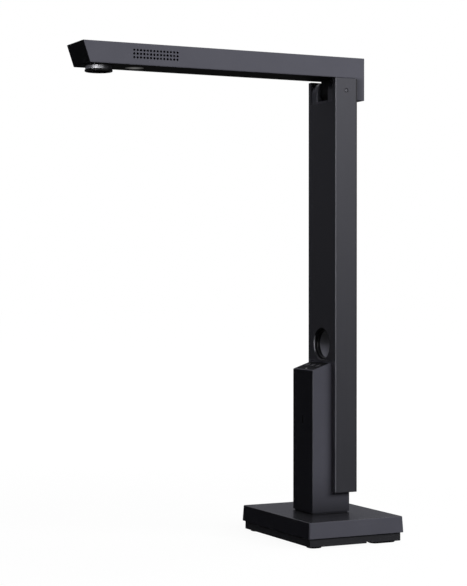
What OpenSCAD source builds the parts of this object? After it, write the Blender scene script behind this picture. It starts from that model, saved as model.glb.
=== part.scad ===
// Overhead document scanner. A weighted base carries a post, a column slides up the post, and a
// camera arm hinged to the column's top folds down until its lens parks in the column's front.
// Millimetres, +Z up, arm reaching towards -Y. The origin is on the desk, under the base's middle.

/* [Base] */
// Width of the base cover along its lower rim
base_w = 114.8; // [104:0.2:140]
// Depth of the base cover along its lower rim
base_d = 85.5; // [78:0.5:110]
// Height of the base cover
cover_h = 12.7; // [12.5:0.1:20]
// How far each side of the cover leans in towards its top
cover_lean = 0.7; // [0.2:0.1:1.5]
// Thickness of the cover's walls
cover_wall = 2.4; // [1.8:0.1:3]
// Radius of the cover's upright edges
cover_edge_r = 1.4; // [0.8:0.1:4]
// Bevel along the cover's upper rim
cover_bevel = 0.5; // [0.2:0.1:1]
// Height of the tray that shows under the cover
tray_h = 6.6; // [4.2:0.1:9]
// How far the tray stands in from the cover's lower rim
tray_inset = 1.7; // [1.5:0.1:2.6]
// Thickness of the tray's floor
tray_floor = 2.2; // [1.9:0.1:3]
// Width of the cable notch in the tray's right wall
notch_w = 3.9; // [1.5:0.1:6]
// Place of the cable notch behind the base's middle
notch_y = 11.6; // [6:0.1:13.4]

/* [Feet] */
// Width of each foot
foot_w = 11; // [7:0.5:16]
// Length of each front foot
front_foot_d = 11; // [7:0.5:16]
// Length of each rear foot
rear_foot_d = 22; // [10:0.5:24]
// Distance of the feet from the tray's rim
foot_inset = 2.4; // [1.6:0.1:5]
// How far the feet stand out under the tray
foot_stand = 1.3; // [0.6:0.1:3]
// Depth of the pockets that hold the feet
foot_sink = 1; // [0.5:0.1:1.3]

/* [Post] */
// Height of the control panel's front edge above the base
post_h = 114.4; // [100:0.2:140]
// How far the post stands out in front of the column
post_proud = 17.4; // [15:0.1:22]
// Thickness of the post's walls
post_wall = 2.2; // [1.8:0.1:2.6]
// Radius of the post's upright edges
post_edge_r = 0.8; // [0.4:0.1:1.5]
// Height of the shadow line under the post
reveal_h = 0.8; // [0.4:0.1:2]
// Depth of the shadow line under the post
reveal_in = 1; // [0.5:0.1:2]
// Tilt of the control panel
panel_tilt = 19; // [10:0.5:26]
// Thickness of the control panel
panel_t = 2; // [1.4:0.1:2.4]
// Rim of the post round the control panel
panel_rim = 1.4; // [1:0.1:1.7]
// How far the control panel lies below that rim
panel_sink = 0.2; // [0:0.05:0.5]

/* [Keys] */
// Radius of each key
key_r = 3.2; // [2.4:0.1:3.6]
// Distance between the keys' middles
key_pitch = 9; // [8.4:0.1:9.6]
// Place of the keys up the slope
key_up = 10; // [8.5:0.1:11]
// Travel of each key
key_travel = 0.6; // [0.3:0.05:0.9]
// Height of the status light's middle up the slope
status_up = 3.6; // [3:0.1:4]
// Radius of the status light
status_r = 0.7; // [0.4:0.05:1]
// Height of the indicator window's middle above the base
indicator_h = 74.4; // [55:0.2:80]
// Length of the indicator window
indicator_l = 7.4; // [5:0.1:12]
// Width of the indicator window
indicator_w = 1.8; // [1:0.1:3]

/* [Column] */
// Length of the column
column_l = 330.9; // [310:0.1:380]
// Depth of the column
column_d = 20.1; // [18.5:0.1:22]
// Thickness of the column's side walls
side_wall = 4.8; // [3.6:0.1:6]
// Thickness of the column's front and rear walls
face_wall = 2.4; // [2:0.1:2.8]
// Radius of the column's upright edges
column_edge_r = 0.9; // [0.4:0.1:1.5]
// Height of the column's lower end above the base
column_clear = 16.6; // [8:0.2:24]
// Place of the column's front face behind the base's middle
column_front = 0.4; // [-4:0.1:6]
// Travel of the column up the post
column_lift = 60; // [40:1:64]

/* [Hinge] */
// Radius of the hinge pin
pin_r = 1.4; // [1.2:0.05:2.4]
// Distance of the pin behind the column's front
pin_back = 10; // [9.4:0.05:10.6]
// Distance of the pin below the column's top
pin_drop = 9.9; // [9:0.05:11]
// Radius of the tongue's round end
knuckle_r = 6.6; // [5:0.1:7]
// Width of the tongue between the ears
tongue_w = 16; // [12:0.2:18]
// Thickness of each friction washer
washer_t = 0.6; // [0.3:0.05:1]
// Radius of the friction washers
washer_r = 5.4; // [4:0.1:6]

/* [Arm] */
// Width of the arm
arm_w = 34.4; // [31:0.1:40]
// Height of the arm
arm_h = 16.4; // [15:0.1:20]
// Thickness of the arm's walls
arm_wall = 2; // [1.6:0.1:2.4]
// Thickness of the cover under the arm
bottom_t = 1.8; // [1.4:0.1:2.2]
// Slant of the arm's tip
tip_slant = 18.6; // [8:0.2:20]
// Thickness of the tab behind the column
tab_t = 8.7; // [7:0.1:14]
// How far the tab hangs down behind the column
tab_drop = 17.7; // [14:0.1:26]
// Radius of the arm's long edges
arm_edge_r = 0.7; // [0.3:0.1:1.2]

/* [Camera] */
// Radius of the lens ring
lens_r = 10.6; // [9:0.1:10.8]
// How far the lens stands out under the arm
lens_h = 4.6; // [3.6:0.1:4.8]
// Distance of the lens behind the arm's tip
lens_back = 13.6; // [13.2:0.1:20]
// Radius of the lamp's lens
lamp_r = 7.4; // [5:0.1:7.6]
// Distance of the lamp behind the camera lens
lamp_back = 29.3; // [27:0.1:44]
// Number of speaker holes in a row
grille_columns = 14; // [6:1:16]
// Number of rows of speaker holes
grille_rows = 3; // [1:1:3]
// Distance between speaker holes
grille_pitch = 2.74; // [2.2:0.02:2.9]
// Radius of each speaker hole
grille_r = 0.8; // [0.4:0.02:0.9]
// Distance of the first speaker hole behind the camera lens
grille_back = 22; // [20:0.1:60]

/* [Clearances] */
// Gap round pieces that are fixed together
fit_gap = 0.1; // [0.05:0.01:0.15]
// Gap between pieces that slide past each other
slide_gap = 0.3; // [0.2:0.02:0.4]
// Radial gap of the hinge pin in its bores
run_gap = 0.05; // [0.02:0.01:0.1]
// Gap between the post and the column, where the wear strips run
guide_gap = 1.15; // [0.9:0.05:1.5]
// Gap between the post and the lips of the column's slot
post_gap = 0.4; // [0.3:0.05:0.8]
// Gap between the arm and the cheeks on each side of it
cheek_gap = 0.45; // [0.3:0.05:0.8]
// Gap between the arm's underside and the column's top
arm_gap = 0.8; // [0.7:0.05:2]
// Gap between the arm's tab and the column's back
tab_gap = 0.9; // [0.7:0.05:1.5]
// Gap between the hinge's turning pieces and what they pass
swing_gap = 0.35; // [0.25:0.05:0.5]
// Gap between the folded arm's tip and the panel's upper edge
fold_gap = 0.65; // [0.6:0.05:2]

/* [Fasteners] */
// Radius of the small screws
screw_r = 1.1; // [0.8:0.05:1.3]
// Radius of the small screws' heads
screw_head_r = 2.1; // [1.7:0.05:2.3]
// Height of the small screws' heads
screw_head_h = 1.2; // [0.8:0.05:1.4]
// Radius of the screws that hold the post
post_screw_r = 1.5; // [1.2:0.05:1.8]
// Radius of the post screws' heads
post_screw_head_r = 2.8; // [2.3:0.05:3.2]
// Height of the post screws' heads
post_screw_head_h = 1.8; // [1.4:0.05:2]
// Wall of the bosses that take screws
boss_wall = 1.9; // [1.4:0.05:2]
// Thickness of the circuit boards
board_t = 1.4; // [1:0.05:1.6]
// Thickness of the flat cables
ribbon_t = 0.4; // [0.2:0.05:0.6]
// Width of the flat cables
ribbon_w = 10; // [6:0.5:12]

/* [Hidden] */
$fn = 48;

case_grey = [0.27, 0.27, 0.30];
deep_grey = [0.13, 0.13, 0.14];
near_black = [0.05, 0.05, 0.06];
steel_grey = [0.62, 0.63, 0.65];
nylon_white = [0.86, 0.85, 0.80];
board_green = [0.08, 0.30, 0.18];
ribbon_white = [0.88, 0.88, 0.86];
glass_tint = [0.10, 0.12, 0.18, 0.6];
lamp_white = [0.85, 0.85, 0.82, 0.8];

// A cut reaches this far past the face that it opens
cut = 1;
// Room that pieces inside the housings leave to each other
room = 0.4;
// Length of a screw hole beyond its screw's end
hole_spare = 1;

// Heights of the base's layers
cover_z0 = foot_stand + tray_h;
cover_z1 = cover_z0 + cover_h;
cover_in_z = cover_z1 - cover_wall;
tray_floor_z = foot_stand + tray_floor;
tray_w = base_w - 2 * tray_inset;
tray_d = base_d - 2 * tray_inset;
cover_in_w = base_w - 2 * (cover_lean + cover_wall);
cover_in_d = base_d - 2 * (cover_lean + cover_wall);
lip_h = 2;
lip_t = 1.6;
lip_w = cover_in_w - 2 * fit_gap;
lip_d = cover_in_d - 2 * fit_gap;
tray_in_w = lip_w - 2 * lip_t;
tray_in_d = lip_d - 2 * lip_t;
tray_bevel = 0.5;
tray_lean = cover_lean / 2;
notch_h = 1.3;
notch_l = 9;

// Screws that hold the tray to the cover stand beside the feet
boss_r = screw_r + boss_wall;
foot_x = tray_w / 2 - foot_inset - foot_w / 2;
front_foot_y = -(tray_d / 2 - foot_inset - front_foot_d / 2);
rear_foot_y = tray_d / 2 - foot_inset - rear_foot_d / 2;
foot_h = foot_stand + foot_sink;
foot_edge_r = 4.5;
foot_bevel = 0.3;
tray_screw_off = 3;
tray_screw_x = foot_x - foot_w / 2 - boss_r - tray_screw_off;
tray_screw_y = tray_in_d / 2 - boss_r - room;
tray_screw_l = 9;

// The main board hangs from bosses under the cover's top, and its socket opens at the back
socket_w = 8.94;
socket_h = 3.26;
socket_l = 7.3;
socket_wall = 0.35;
socket_r = 1.3;
socket_in_w = socket_w - 2 * socket_wall;
board_drop = socket_h + room;
board_z1 = cover_in_z - board_drop;
board_z0 = board_z1 - board_t;
board_w = 54;
board_d = 19;
board_y = cover_in_d / 2 - room - board_d / 2;
board_screw_x = board_w / 2 - boss_r - room;
board_screw_y = board_d / 2 - boss_r - room;
board_screw_l = 2.6;
socket_y1 = base_d / 2 - cover_lean - fit_gap;
socket_tongue_t = 0.7;
socket_tongue_in = 0.8;
chip_h = 1.2;
chip_w = board_d / 3;

// The counterweight lies on the tray's floor and stops short of the board's screws
weight_z1 = board_z0 - screw_head_h - slide_gap;
weight_margin = 5;
weight_w = tray_in_w - 2 * weight_margin;
weight_d = 2 * (tray_screw_y - boss_r - 2 * room);
weight_edge_r = 4;

// The column's channel takes the arm between its cheeks, and the post inside it
channel_w = arm_w + 2 * cheek_gap;
column_w = channel_w + 2 * side_wall;
column_back = column_front + column_d;
channel_y0 = column_front + face_wall;
channel_y1 = column_back - face_wall;
column_z0 = cover_z1 + column_clear;
column_z1 = column_z0 + column_l;

// The post and its sloped top
post_w = channel_w - 2 * guide_gap;
post_y0 = column_front - post_proud;
post_y1 = channel_y1 - guide_gap;
post_d = post_y1 - post_y0;
post_mid = (post_y0 + post_y1) / 2;
post_z0 = cover_z1 + reveal_h;
post_in_w = post_w - 2 * post_wall;
post_floor = 3;
post_floor_z = post_z0 + post_floor;
panel_front_z = cover_z1 + post_h;
panel_rear_z = panel_front_z + post_proud * tan(panel_tilt);
slope_l = post_proud / cos(panel_tilt);
post_boss_r = post_screw_r + boss_wall;
post_screw_x = post_in_w / 2 - post_boss_r - room;
post_screw_in = 2.6;
post_screw_y = post_d / 2 - post_wall - post_boss_r - post_screw_in;
post_boss_h = 10;
post_screw_seat = tray_floor_z + post_screw_head_h + fit_gap;
lead_w = 12;
lead_d = 4;
lead_y = column_front + post_wall + room;
ribbon_spare = 2;

// The panel's inside: keys stand in the switches on the key board
panel_w = post_w - 2 * panel_rim;
panel_l = slope_l - 2 * panel_rim;
panel_under = -panel_sink - panel_t;
key_flange_t = 0.6;
key_flange = 0.6;
key_flange_r = key_r + key_flange;
key_proud = 0.2;
key_bevel = 0.3;
key_gap = 0.2;
key_stem_r = 0.9;
key_foot = panel_under - key_gap - key_flange_t;
switch_h = 1.8;
switch_w = 5;
switch_edge_r = 0.4;
switch_gap = 0.9;
stem_sink = 0.4;
switch_z1 = key_foot - key_travel - switch_gap;
switch_z0 = switch_z1 - switch_h;
key_board_z0 = switch_z0 - board_t;
key_board_w = post_in_w - 2 * fit_gap;
key_board_l = slope_l - 2 * (post_wall + room);
ledge_w = 1.6;
ledge_t = 1.4;
pocket_spare = 2;
pocket_foot = key_board_z0 - ledge_t - pocket_spare;
status_flange = 0.6;
key_row = [-key_pitch, 0, key_pitch];

// The indicator in the post's front
indicator_z = cover_z1 + indicator_h;
window_flange = 1;
window_flange_t = 0.8;
window_sink = 0.15;
indicator_board_w = 8;
indicator_board_spare = 3.5;
indicator_board_l = indicator_l + 2 * indicator_board_spare;

// Wear strips guide the slide, and meet at the end of its travel
strip_t = guide_gap - slide_gap;
strip_back = 3;
strip_y0 = channel_y0 + room;
strip_d = post_y1 - strip_y0 - strip_back;
post_strip_l = 16;
strip_in = 1;
strip_spare = 2;
post_strip_z1 = panel_rear_z - strip_in;
column_strip_z0 = column_z0 + strip_in;
column_strip_z1 = post_strip_z1 - post_strip_l - strip_spare - column_lift;

// The brake shoe leans through a window in the post's back, pushed by a bowed leaf spring
brake_w = 12;
brake_h = 20;
brake_drop = 26;
brake_z = panel_rear_z - brake_drop;
shoe_flange = 2;
shoe_flange_t = 1.5;
shoe_y0 = post_y1 - post_wall - fit_gap - shoe_flange_t;
shoe_y1 = channel_y1 - slide_gap;
spring_t = 0.5;
spring_w = 9;
spring_half = 13;
spring_sag = 2.4;
spring_r = (spring_half * spring_half + spring_sag * spring_sag) / (2 * spring_sag);
spring_y1 = shoe_y0 - fit_gap / 2;
spring_y0 = spring_y1 - spring_r;
spring_end_y = spring_y0 + sqrt(pow(spring_r - spring_t, 2) - spring_half * spring_half);
spring_plate_t = 1.8;
spring_plate_y1 = spring_end_y - fit_gap / 2;
spring_plate_spare = 3;
spring_plate_h = 2 * (spring_half + spring_plate_spare);

// The hinge, and how far its pieces may reach from the pin
pin_y = column_front + pin_back;
pin_z = column_z1 - pin_drop;
pin_set = 0.15;
pin_ring = 0.3;
arm_z0 = column_z1 + arm_gap;
arm_z1 = arm_z0 + arm_h;
tab_y0 = column_back + tab_gap;
tab_y1 = tab_y0 + tab_t;
tab_z0 = arm_z0 - tab_drop;
ear_r = min(pin_back, tab_y0 - pin_y, arm_z0 - pin_z) - swing_gap;
ear_in = tongue_w / 2 + washer_t + 2 * fit_gap;
ear_out = channel_w / 2 - fit_gap;
bracket_floor_z = pin_z - knuckle_r - swing_gap;
bracket_web = 1.7;
ear_foot_z = bracket_floor_z - bracket_web;
bracket_l = 18;
bracket_y0 = channel_y0 + fit_gap;
bracket_y1 = channel_y1 - fit_gap;
bracket_screw_x = channel_w / 4;
bracket_screw_z = ear_foot_z - bracket_l / 2;
back_cut_up = 2;
back_cut_z = pin_z + back_cut_up;
neck_step = 0.6;
neck_half = knuckle_r - neck_step;

// Folded, the arm's underside lies just off the column and its tip just above the panel
tip_y0 = pin_y - (pin_z - panel_rear_z - fold_gap);
tip_y1 = tip_y0 - arm_h * tan(tip_slant);
arm_in_w = arm_w - 2 * arm_wall;
arm_in_z1 = arm_z1 - arm_wall;
bottom_w = arm_in_w - 2 * fit_gap;
bottom_z1 = arm_z0 + bottom_t;
bottom_y0 = tip_y0 + arm_wall + room;
flange_z0 = bottom_z1 + fit_gap;
flange_web = 2.2;
flange_t = screw_head_h + flange_web;
flange_z1 = flange_z0 + flange_t;
flange_front = 11;
flange_back = 2.4;
flange_w = arm_in_w - 2 * room;
flange_y0 = pin_y - neck_half - flange_front;
flange_y1 = pin_y + neck_half + flange_back;
tongue_screw_x = arm_in_w / 2 - boss_r;
tongue_screw_ys = [flange_y0 + boss_r + room, flange_y1 - boss_r - room];
tongue_screw_l = 7;

// The camera, seen from its lens ring upwards
lens_y = tip_y0 + lens_back;
lens_z0 = arm_z0 - lens_h;
ring_h = 1.5;
ring_wall = 2.2;
ring_bevel = 0.4;
ring_step = 0.5;
barrel_r = lens_r - ring_step;
barrel_wall = 1.1;
glass_r = barrel_r - barrel_wall;
glass_t = 1.2;
glass_seat = 1.2;
barrel_bore_r = glass_r - glass_seat;
barrel_flange = 2.3;
barrel_flange_r = min(barrel_r + barrel_flange, lens_back - arm_wall - 2 * room);
barrel_flange_t = 1.3;
cell_wall = 1.3;
cell_r = barrel_bore_r - cell_wall;
cell_bore_r = cell_r - cell_wall;
cell_base = 2 * cell_r + 2 * room;
cell_base_h = 3;
cell_drop = 0.2;
cell_z0 = arm_z0 - cell_drop;
element_r = cell_bore_r - fit_gap;
element_h = 1.6;
element_sag = 0.9;
camera_board_up = 8.3;
camera_board_z0 = arm_z0 + camera_board_up;
camera_board_w = arm_in_w - 2 * room;
camera_screw_r = 0.8;
camera_boss_r = 2;
camera_boss_x = arm_in_w / 2 - camera_boss_r - room;
camera_boss_reach = barrel_flange_r + camera_boss_r + room;
camera_boss_y = sqrt(camera_boss_reach * camera_boss_reach - camera_boss_x * camera_boss_x);
camera_board_d = 2 * (camera_boss_y + camera_boss_r + room);
camera_screw_l = 4.5;
sensor_w = 6.4;
sensor_d = 4.8;
sensor_t = 0.7;

// The lamp
lamp_y = lens_y + lamp_back;
lamp_proud = 0.3;
lamp_flange = 1.2;
lamp_flange_t = 0.9;
lamp_cup_z0 = bottom_t + lamp_flange_t;
lamp_cup_h = 3.6;
lamp_cup_wall = 0.8;
lamp_board_r = lamp_r + lamp_flange;
diode_w = 1.6;
diode_h = 0.7;
diode_ring_r = lamp_r / 2;
diode_count = 6;

// The speaker stands behind its grille on the arm's right wall
grille_y0 = lens_y + grille_back;
grille_l = (grille_columns - 1) * grille_pitch;
grille_up = 0.25;
grille_z = (arm_z0 + arm_z1) / 2 + grille_up;
gasket_t = 0.6;
gasket_rim = 1.2;
gasket_edge_r = 1;
gasket_h = (grille_rows - 1) * grille_pitch + 2 * (grille_r + gasket_rim + room);
gasket_l = grille_l + 2 * (grille_r + gasket_rim + room);
speaker_x1 = arm_in_w / 2 - gasket_t;
speaker_t = speaker_x1 - lamp_board_r - room;
cone_r = gasket_h / 2 - gasket_rim;
cone_dish = 0.8;

// The recess where the lens parks: a cup behind the column's front with a soft bowl in it
park_z = pin_z - (pin_y - lens_y);
park_y = pin_y - (lens_z0 - pin_z);
cup_gap = 1.7;
cup_r = lens_r + cup_gap;
cup_wall = 1;
cup_lip = 0.3;
pad_room = 0.5;
pad_bore_r = lens_r + pad_room;
pad_wall = 0.6;
pad_r = pad_bore_r + pad_wall;
pad_rim = 0.2;
pad_y0 = channel_y0 + fit_gap;
pad_seat_y = park_y + 2 * slide_gap;
pad_dish = 2.7;
pad_web = 0.7;
pad_y1 = pad_seat_y + pad_dish + pad_web;
pad_dish_r = pad_bore_r - pad_rim;
pad_sphere_r = (pad_dish_r * pad_dish_r + pad_dish * pad_dish) / (2 * pad_dish);
cup_y1 = pad_y1 + cup_wall;

// The travel stop sits on the post's top when the column is down
stop_y0 = cup_y1 + room;
stop_y1 = bracket_y1;
stop_z0 = panel_rear_z + fit_gap;
stop_h = 8;
stop_web = 2;
stop_screw_x = post_in_w / 4;
stop_screw_z = stop_z0 + stop_h / 2;
back_screw_l = 6;

// Shared shapes

module rounded_rect(w, d, r) {
    square([w - 2 * r, d], center = true);
    square([w, d - 2 * r], center = true);
    for (sx = [-1, 1], sy = [-1, 1])
        translate([sx * (w / 2 - r), sy * (d / 2 - r)]) circle(r);
}

module slab(w, d, h, r) {
    linear_extrude(h) rounded_rect(w, d, r);
}

// A bar along Y whose sides lean in and whose upper and lower edges are bevelled
module leaning_bar(w, d, h, lean, top_bevel, foot_bevel) {
    half = w / 2;
    rotate([90, 0, 0]) linear_extrude(d + 2 * cut, center = true) polygon([
        [-half + foot_bevel, 0], [half - foot_bevel, 0], [half, foot_bevel], [half - lean, h - top_bevel],
        [half - lean - top_bevel, h], [-half + lean + top_bevel, h], [-half + lean, h - top_bevel],
        [-half, foot_bevel]
    ]);
}

module bevelled_slab(w, d, h, r, lean, top_bevel, foot_bevel) {
    intersection() {
        slab(w, d, h, r);
        leaning_bar(w, d, h, lean, top_bevel, foot_bevel);
        rotate([0, 0, 90]) leaning_bar(d, w, h, lean, top_bevel, foot_bevel);
    }
}

// A box between two corners
module block(low, high) {
    translate(low) cube(high - low);
}

// A box that is centred on X
module middle_block(w, y0, y1, z0, z1) {
    block([-w / 2, y0, z0], [w / 2, y1, z1]);
}

// A shape drawn in Y and Z, extruded across X
module across(w) {
    rotate([90, 0, 90]) linear_extrude(w, center = true) children();
}

// Rods along the axes
module rod_x(r, x0, x1) {
    translate([x0, 0, 0]) rotate([0, 90, 0]) cylinder(r = r, h = x1 - x0);
}

module rod_y(r, y0, y1) {
    translate([0, y0, 0]) rotate([-90, 0, 0]) cylinder(r = r, h = y1 - y0);
}

module rod_z(r, z0, z1) {
    translate([0, 0, z0]) cylinder(r = r, h = z1 - z0);
}

// A screw with its head's seat at z = 0 and its shank upwards
module screw(head_r, head_h, shank_r, length) {
    translate([0, 0, -head_h]) cylinder(r = head_r, h = head_h);
    cylinder(r = shank_r, h = length);
}

module small_screw(length) {
    screw(screw_head_r, screw_head_h, screw_r - fit_gap, length);
}

module four_corners(x, y) {
    for (sx = [-1, 1], sy = [-1, 1]) translate([sx * x, sy * y, 0]) children();
}

// The panel's own frame: y runs up the slope, and z stands square on it
module on_panel() {
    translate([0, post_y0, panel_front_z]) rotate([panel_tilt, 0, 0]) children();
}

module at_pin() {
    translate([0, pin_y, pin_z]) children();
}

module on_back(xs, z) {
    for (x = xs) translate([x, 0, z]) children();
}

// The base

module foot_places() {
    for (sx = [-1, 1]) {
        translate([sx * foot_x, front_foot_y, 0]) slab(foot_w, front_foot_d, foot_h, foot_edge_r);
        translate([sx * foot_x, rear_foot_y, 0]) slab(foot_w, rear_foot_d, foot_h, foot_edge_r);
    }
}

module base_tray() {
    color(deep_grey) difference() {
        union() {
            translate([0, 0, foot_stand])
                bevelled_slab(tray_w, tray_d, tray_h, cover_edge_r, tray_lean, tray_lean, tray_bevel);
            translate([0, 0, cover_z0 - cut]) slab(lip_w, lip_d, lip_h + cut, cover_edge_r);
        }
        translate([0, 0, tray_floor_z]) slab(tray_in_w, tray_in_d, tray_h + lip_h, cover_edge_r);
        foot_places();
        four_corners(tray_screw_x, tray_screw_y) {
            rod_z(screw_head_r + fit_gap, 0, foot_stand + screw_head_h);
            rod_z(screw_r + fit_gap, 0, tray_floor_z + cut);
        }
        translate([tray_w / 2 - notch_l, notch_y - notch_w / 2, 0])
            cube([2 * notch_l, notch_w, foot_stand + notch_h]);
    }
}

module foot(d) {
    bevelled_slab(foot_w - fit_gap, d - fit_gap, foot_h, foot_edge_r, 0, foot_bevel, foot_bevel);
}

module rubber_feet() {
    color(near_black) for (sx = [-1, 1]) {
        translate([sx * foot_x, front_foot_y, 0]) foot(front_foot_d);
        translate([sx * foot_x, rear_foot_y, 0]) foot(rear_foot_d);
    }
}

module counterweight() {
    color(steel_grey) difference() {
        translate([0, 0, tray_floor_z]) slab(weight_w, weight_d, weight_z1 - tray_floor_z, weight_edge_r);
        translate([0, post_mid, 0]) four_corners(post_screw_x, post_screw_y) {
            rod_z(post_screw_head_r + fit_gap, 0, post_screw_seat);
            rod_z(post_screw_r + fit_gap, 0, weight_z1 + cut);
        }
    }
}

module base_cover() {
    color(case_grey) difference() {
        union() {
            difference() {
                translate([0, 0, cover_z0])
                    bevelled_slab(base_w, base_d, cover_h, cover_edge_r, cover_lean, cover_bevel, tray_lean);
                translate([0, 0, cover_z0 - cut])
                    slab(cover_in_w, cover_in_d, cover_in_z - cover_z0 + cut, cover_edge_r);
            }
            four_corners(tray_screw_x, tray_screw_y) rod_z(boss_r, tray_floor_z, cover_in_z + cut);
            translate([0, board_y, 0]) four_corners(board_screw_x, board_screw_y)
                rod_z(boss_r, board_z1, cover_in_z + cut);
            translate([0, post_mid, 0]) four_corners(post_screw_x, post_screw_y)
                rod_z(post_boss_r, weight_z1, cover_in_z + cut);
        }
        four_corners(tray_screw_x, tray_screw_y)
            rod_z(screw_r, 0, foot_stand + screw_head_h + tray_screw_l + hole_spare);
        translate([0, board_y, 0]) four_corners(board_screw_x, board_screw_y)
            rod_z(screw_r, board_z0, board_z1 + board_screw_l);
        translate([0, post_mid, 0]) four_corners(post_screw_x, post_screw_y)
            rod_z(post_screw_r + fit_gap, 0, cover_z1 + cut);
        translate([0, post_mid, cover_in_z - cut]) slab(lead_w, lead_d, cover_wall + 2 * cut, lead_d / 4);
        translate([0, socket_y1 + cut, board_z1 + socket_h / 2]) rotate([90, 0, 0])
            slab(socket_w + 4 * fit_gap, socket_h + 4 * fit_gap, socket_l, socket_r);
    }
}

module tray_screws() {
    color(steel_grey) four_corners(tray_screw_x, tray_screw_y)
        translate([0, 0, foot_stand + screw_head_h]) small_screw(tray_screw_l);
}

module main_board() {
    color(board_green) union() {
        difference() {
            middle_block(board_w, board_y - board_d / 2, board_y + board_d / 2, board_z0, board_z1);
            translate([0, board_y, 0]) four_corners(board_screw_x, board_screw_y)
                rod_z(screw_r + fit_gap, board_z0 - cut, board_z1 + cut);
        }
        for (x = [-board_w / 5, board_w / 5])
            translate([x, board_y - board_d / 5, board_z1]) slab(chip_w, chip_w, chip_h, chip_h / 4);
    }
}

module cable_socket() {
    tongue_w = socket_in_w - 2 * socket_tongue_in;
    color(steel_grey) translate([0, socket_y1, board_z1 + socket_h / 2]) rotate([90, 0, 0]) {
        difference() {
            slab(socket_w, socket_h, socket_l, socket_r);
            translate([0, 0, -cut])
                slab(socket_in_w, socket_h - 2 * socket_wall, socket_l, socket_r - socket_wall);
        }
        translate([-tongue_w / 2, -socket_tongue_t / 2, socket_tongue_in])
            cube([tongue_w, socket_tongue_t, socket_l - socket_tongue_in]);
    }
}

module board_screws() {
    color(steel_grey) translate([0, board_y, board_z0]) four_corners(board_screw_x, board_screw_y)
        small_screw(board_t + board_screw_l - fit_gap);
}

// The post

module post_shell() {
    color(case_grey) difference() {
        union() {
            difference() {
                translate([0, post_mid, post_z0]) slab(post_w, post_d, panel_rear_z - post_z0, post_edge_r);
                on_panel() translate([-post_w, -post_d, 0]) cube([2 * post_w, 3 * post_d, post_d]);
                middle_block(post_in_w, post_y0 + post_wall, post_y1 - post_wall, post_floor_z,
                    panel_front_z + pocket_foot);
                middle_block(post_in_w, column_front + post_wall, post_y1 - post_wall, post_floor_z,
                    panel_rear_z - post_wall);
                on_panel() translate([-post_in_w / 2, post_wall, pocket_foot - post_wall])
                    cube([post_in_w, slope_l - 2 * post_wall, post_d]);
            }
            translate([0, post_mid, cover_z1])
                slab(post_w - 2 * reveal_in, post_d - 2 * reveal_in, reveal_h + cut, post_edge_r);
            translate([0, post_mid, 0]) four_corners(post_screw_x, post_screw_y)
                rod_z(post_boss_r, post_z0, post_z0 + post_boss_h);
            middle_block(post_in_w + cut, spring_plate_y1 - spring_plate_t, spring_plate_y1,
                brake_z - spring_plate_h / 2, brake_z + spring_plate_h / 2);
            on_panel() for (sx = [-1, 1])
                translate([sx * (post_in_w - ledge_w) / 2, slope_l / 2, key_board_z0 - ledge_t])
                    linear_extrude(ledge_t) square([ledge_w + fit_gap, key_board_l], center = true);
        }
        on_panel() translate([0, slope_l / 2, panel_under])
            linear_extrude(panel_t + panel_sink + cut) square([panel_w, panel_l], center = true);
        translate([0, post_mid, 0]) four_corners(post_screw_x, post_screw_y)
            rod_z(post_screw_r, cover_z1 - cut, post_z0 + post_boss_h - hole_spare);
        translate([0, post_mid, cover_z1 - cut])
            slab(lead_w, lead_d, post_floor_z - cover_z1 + 2 * cut, lead_d / 4);
        translate([0, post_y0 + post_wall / 2, indicator_z]) rotate([90, 0, 0])
            linear_extrude(post_wall + 2 * cut, center = true) window_outline(indicator_w, indicator_l);
        middle_block(brake_w, post_y1 - post_wall - cut, post_y1 + cut, brake_z - brake_h / 2,
            brake_z + brake_h / 2);
        middle_block(lead_w, lead_y, lead_y + lead_d, panel_rear_z - post_wall - cut, panel_rear_z + cut);
    }
}

module post_screws() {
    color(steel_grey) translate([0, post_mid, post_screw_seat]) four_corners(post_screw_x, post_screw_y)
        screw(post_screw_head_r, post_screw_head_h, post_screw_r - fit_gap,
            post_z0 + post_boss_h - 2 * hole_spare - post_screw_seat);
}

module control_panel() {
    color(near_black) on_panel() translate([0, slope_l / 2, panel_under]) difference() {
        slab(panel_w - 2 * fit_gap, panel_l - 2 * fit_gap, panel_t, fit_gap);
        translate([0, key_up - slope_l / 2, 0]) for (x = key_row)
            translate([x, 0, 0]) rod_z(key_r + key_gap, -cut, panel_t + cut);
        translate([0, status_up - slope_l / 2, 0]) rod_z(status_r + fit_gap, -cut, panel_t + cut);
    }
}

module status_light() {
    color(lamp_white) on_panel() translate([0, status_up, 0]) {
        rod_z(status_r, panel_under - status_flange, -panel_sink);
        rod_z(status_r + status_flange, panel_under - status_flange, panel_under);
    }
}

module key_board() {
    color(board_green) on_panel() translate([0, slope_l / 2, key_board_z0])
        linear_extrude(board_t) square([key_board_w, key_board_l], center = true);
}

module key_switches() {
    color(near_black) on_panel() for (x = key_row) translate([x, key_up, 0]) difference() {
        translate([0, 0, switch_z0]) slab(switch_w, switch_w, switch_h, switch_edge_r);
        rod_z(key_stem_r + key_gap, switch_z1 - key_travel - 2 * stem_sink, switch_z1 + cut);
    }
}

module key(x) {
    top = key_flange_t + key_gap - panel_under + key_proud;
    color(deep_grey) on_panel() translate([x, key_up, 0]) {
        translate([0, 0, key_foot]) rotate_extrude() polygon([
            [0, 0], [key_r, 0], [key_r, top - key_bevel], [key_r - key_bevel, top], [0, top]
        ]);
        rod_z(key_flange_r, key_foot, key_foot + key_flange_t);
        rod_z(key_stem_r, switch_z1 - stem_sink, key_foot + key_flange_t);
    }
}

module left_key() {
    key(key_row[0]);
}

module middle_key() {
    key(key_row[1]);
}

module right_key() {
    key(key_row[2]);
}

module window_outline(w, l) {
    square([w, l - w], center = true);
    for (sy = [-1, 1]) translate([0, sy * (l - w) / 2]) circle(w / 2);
}

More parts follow.
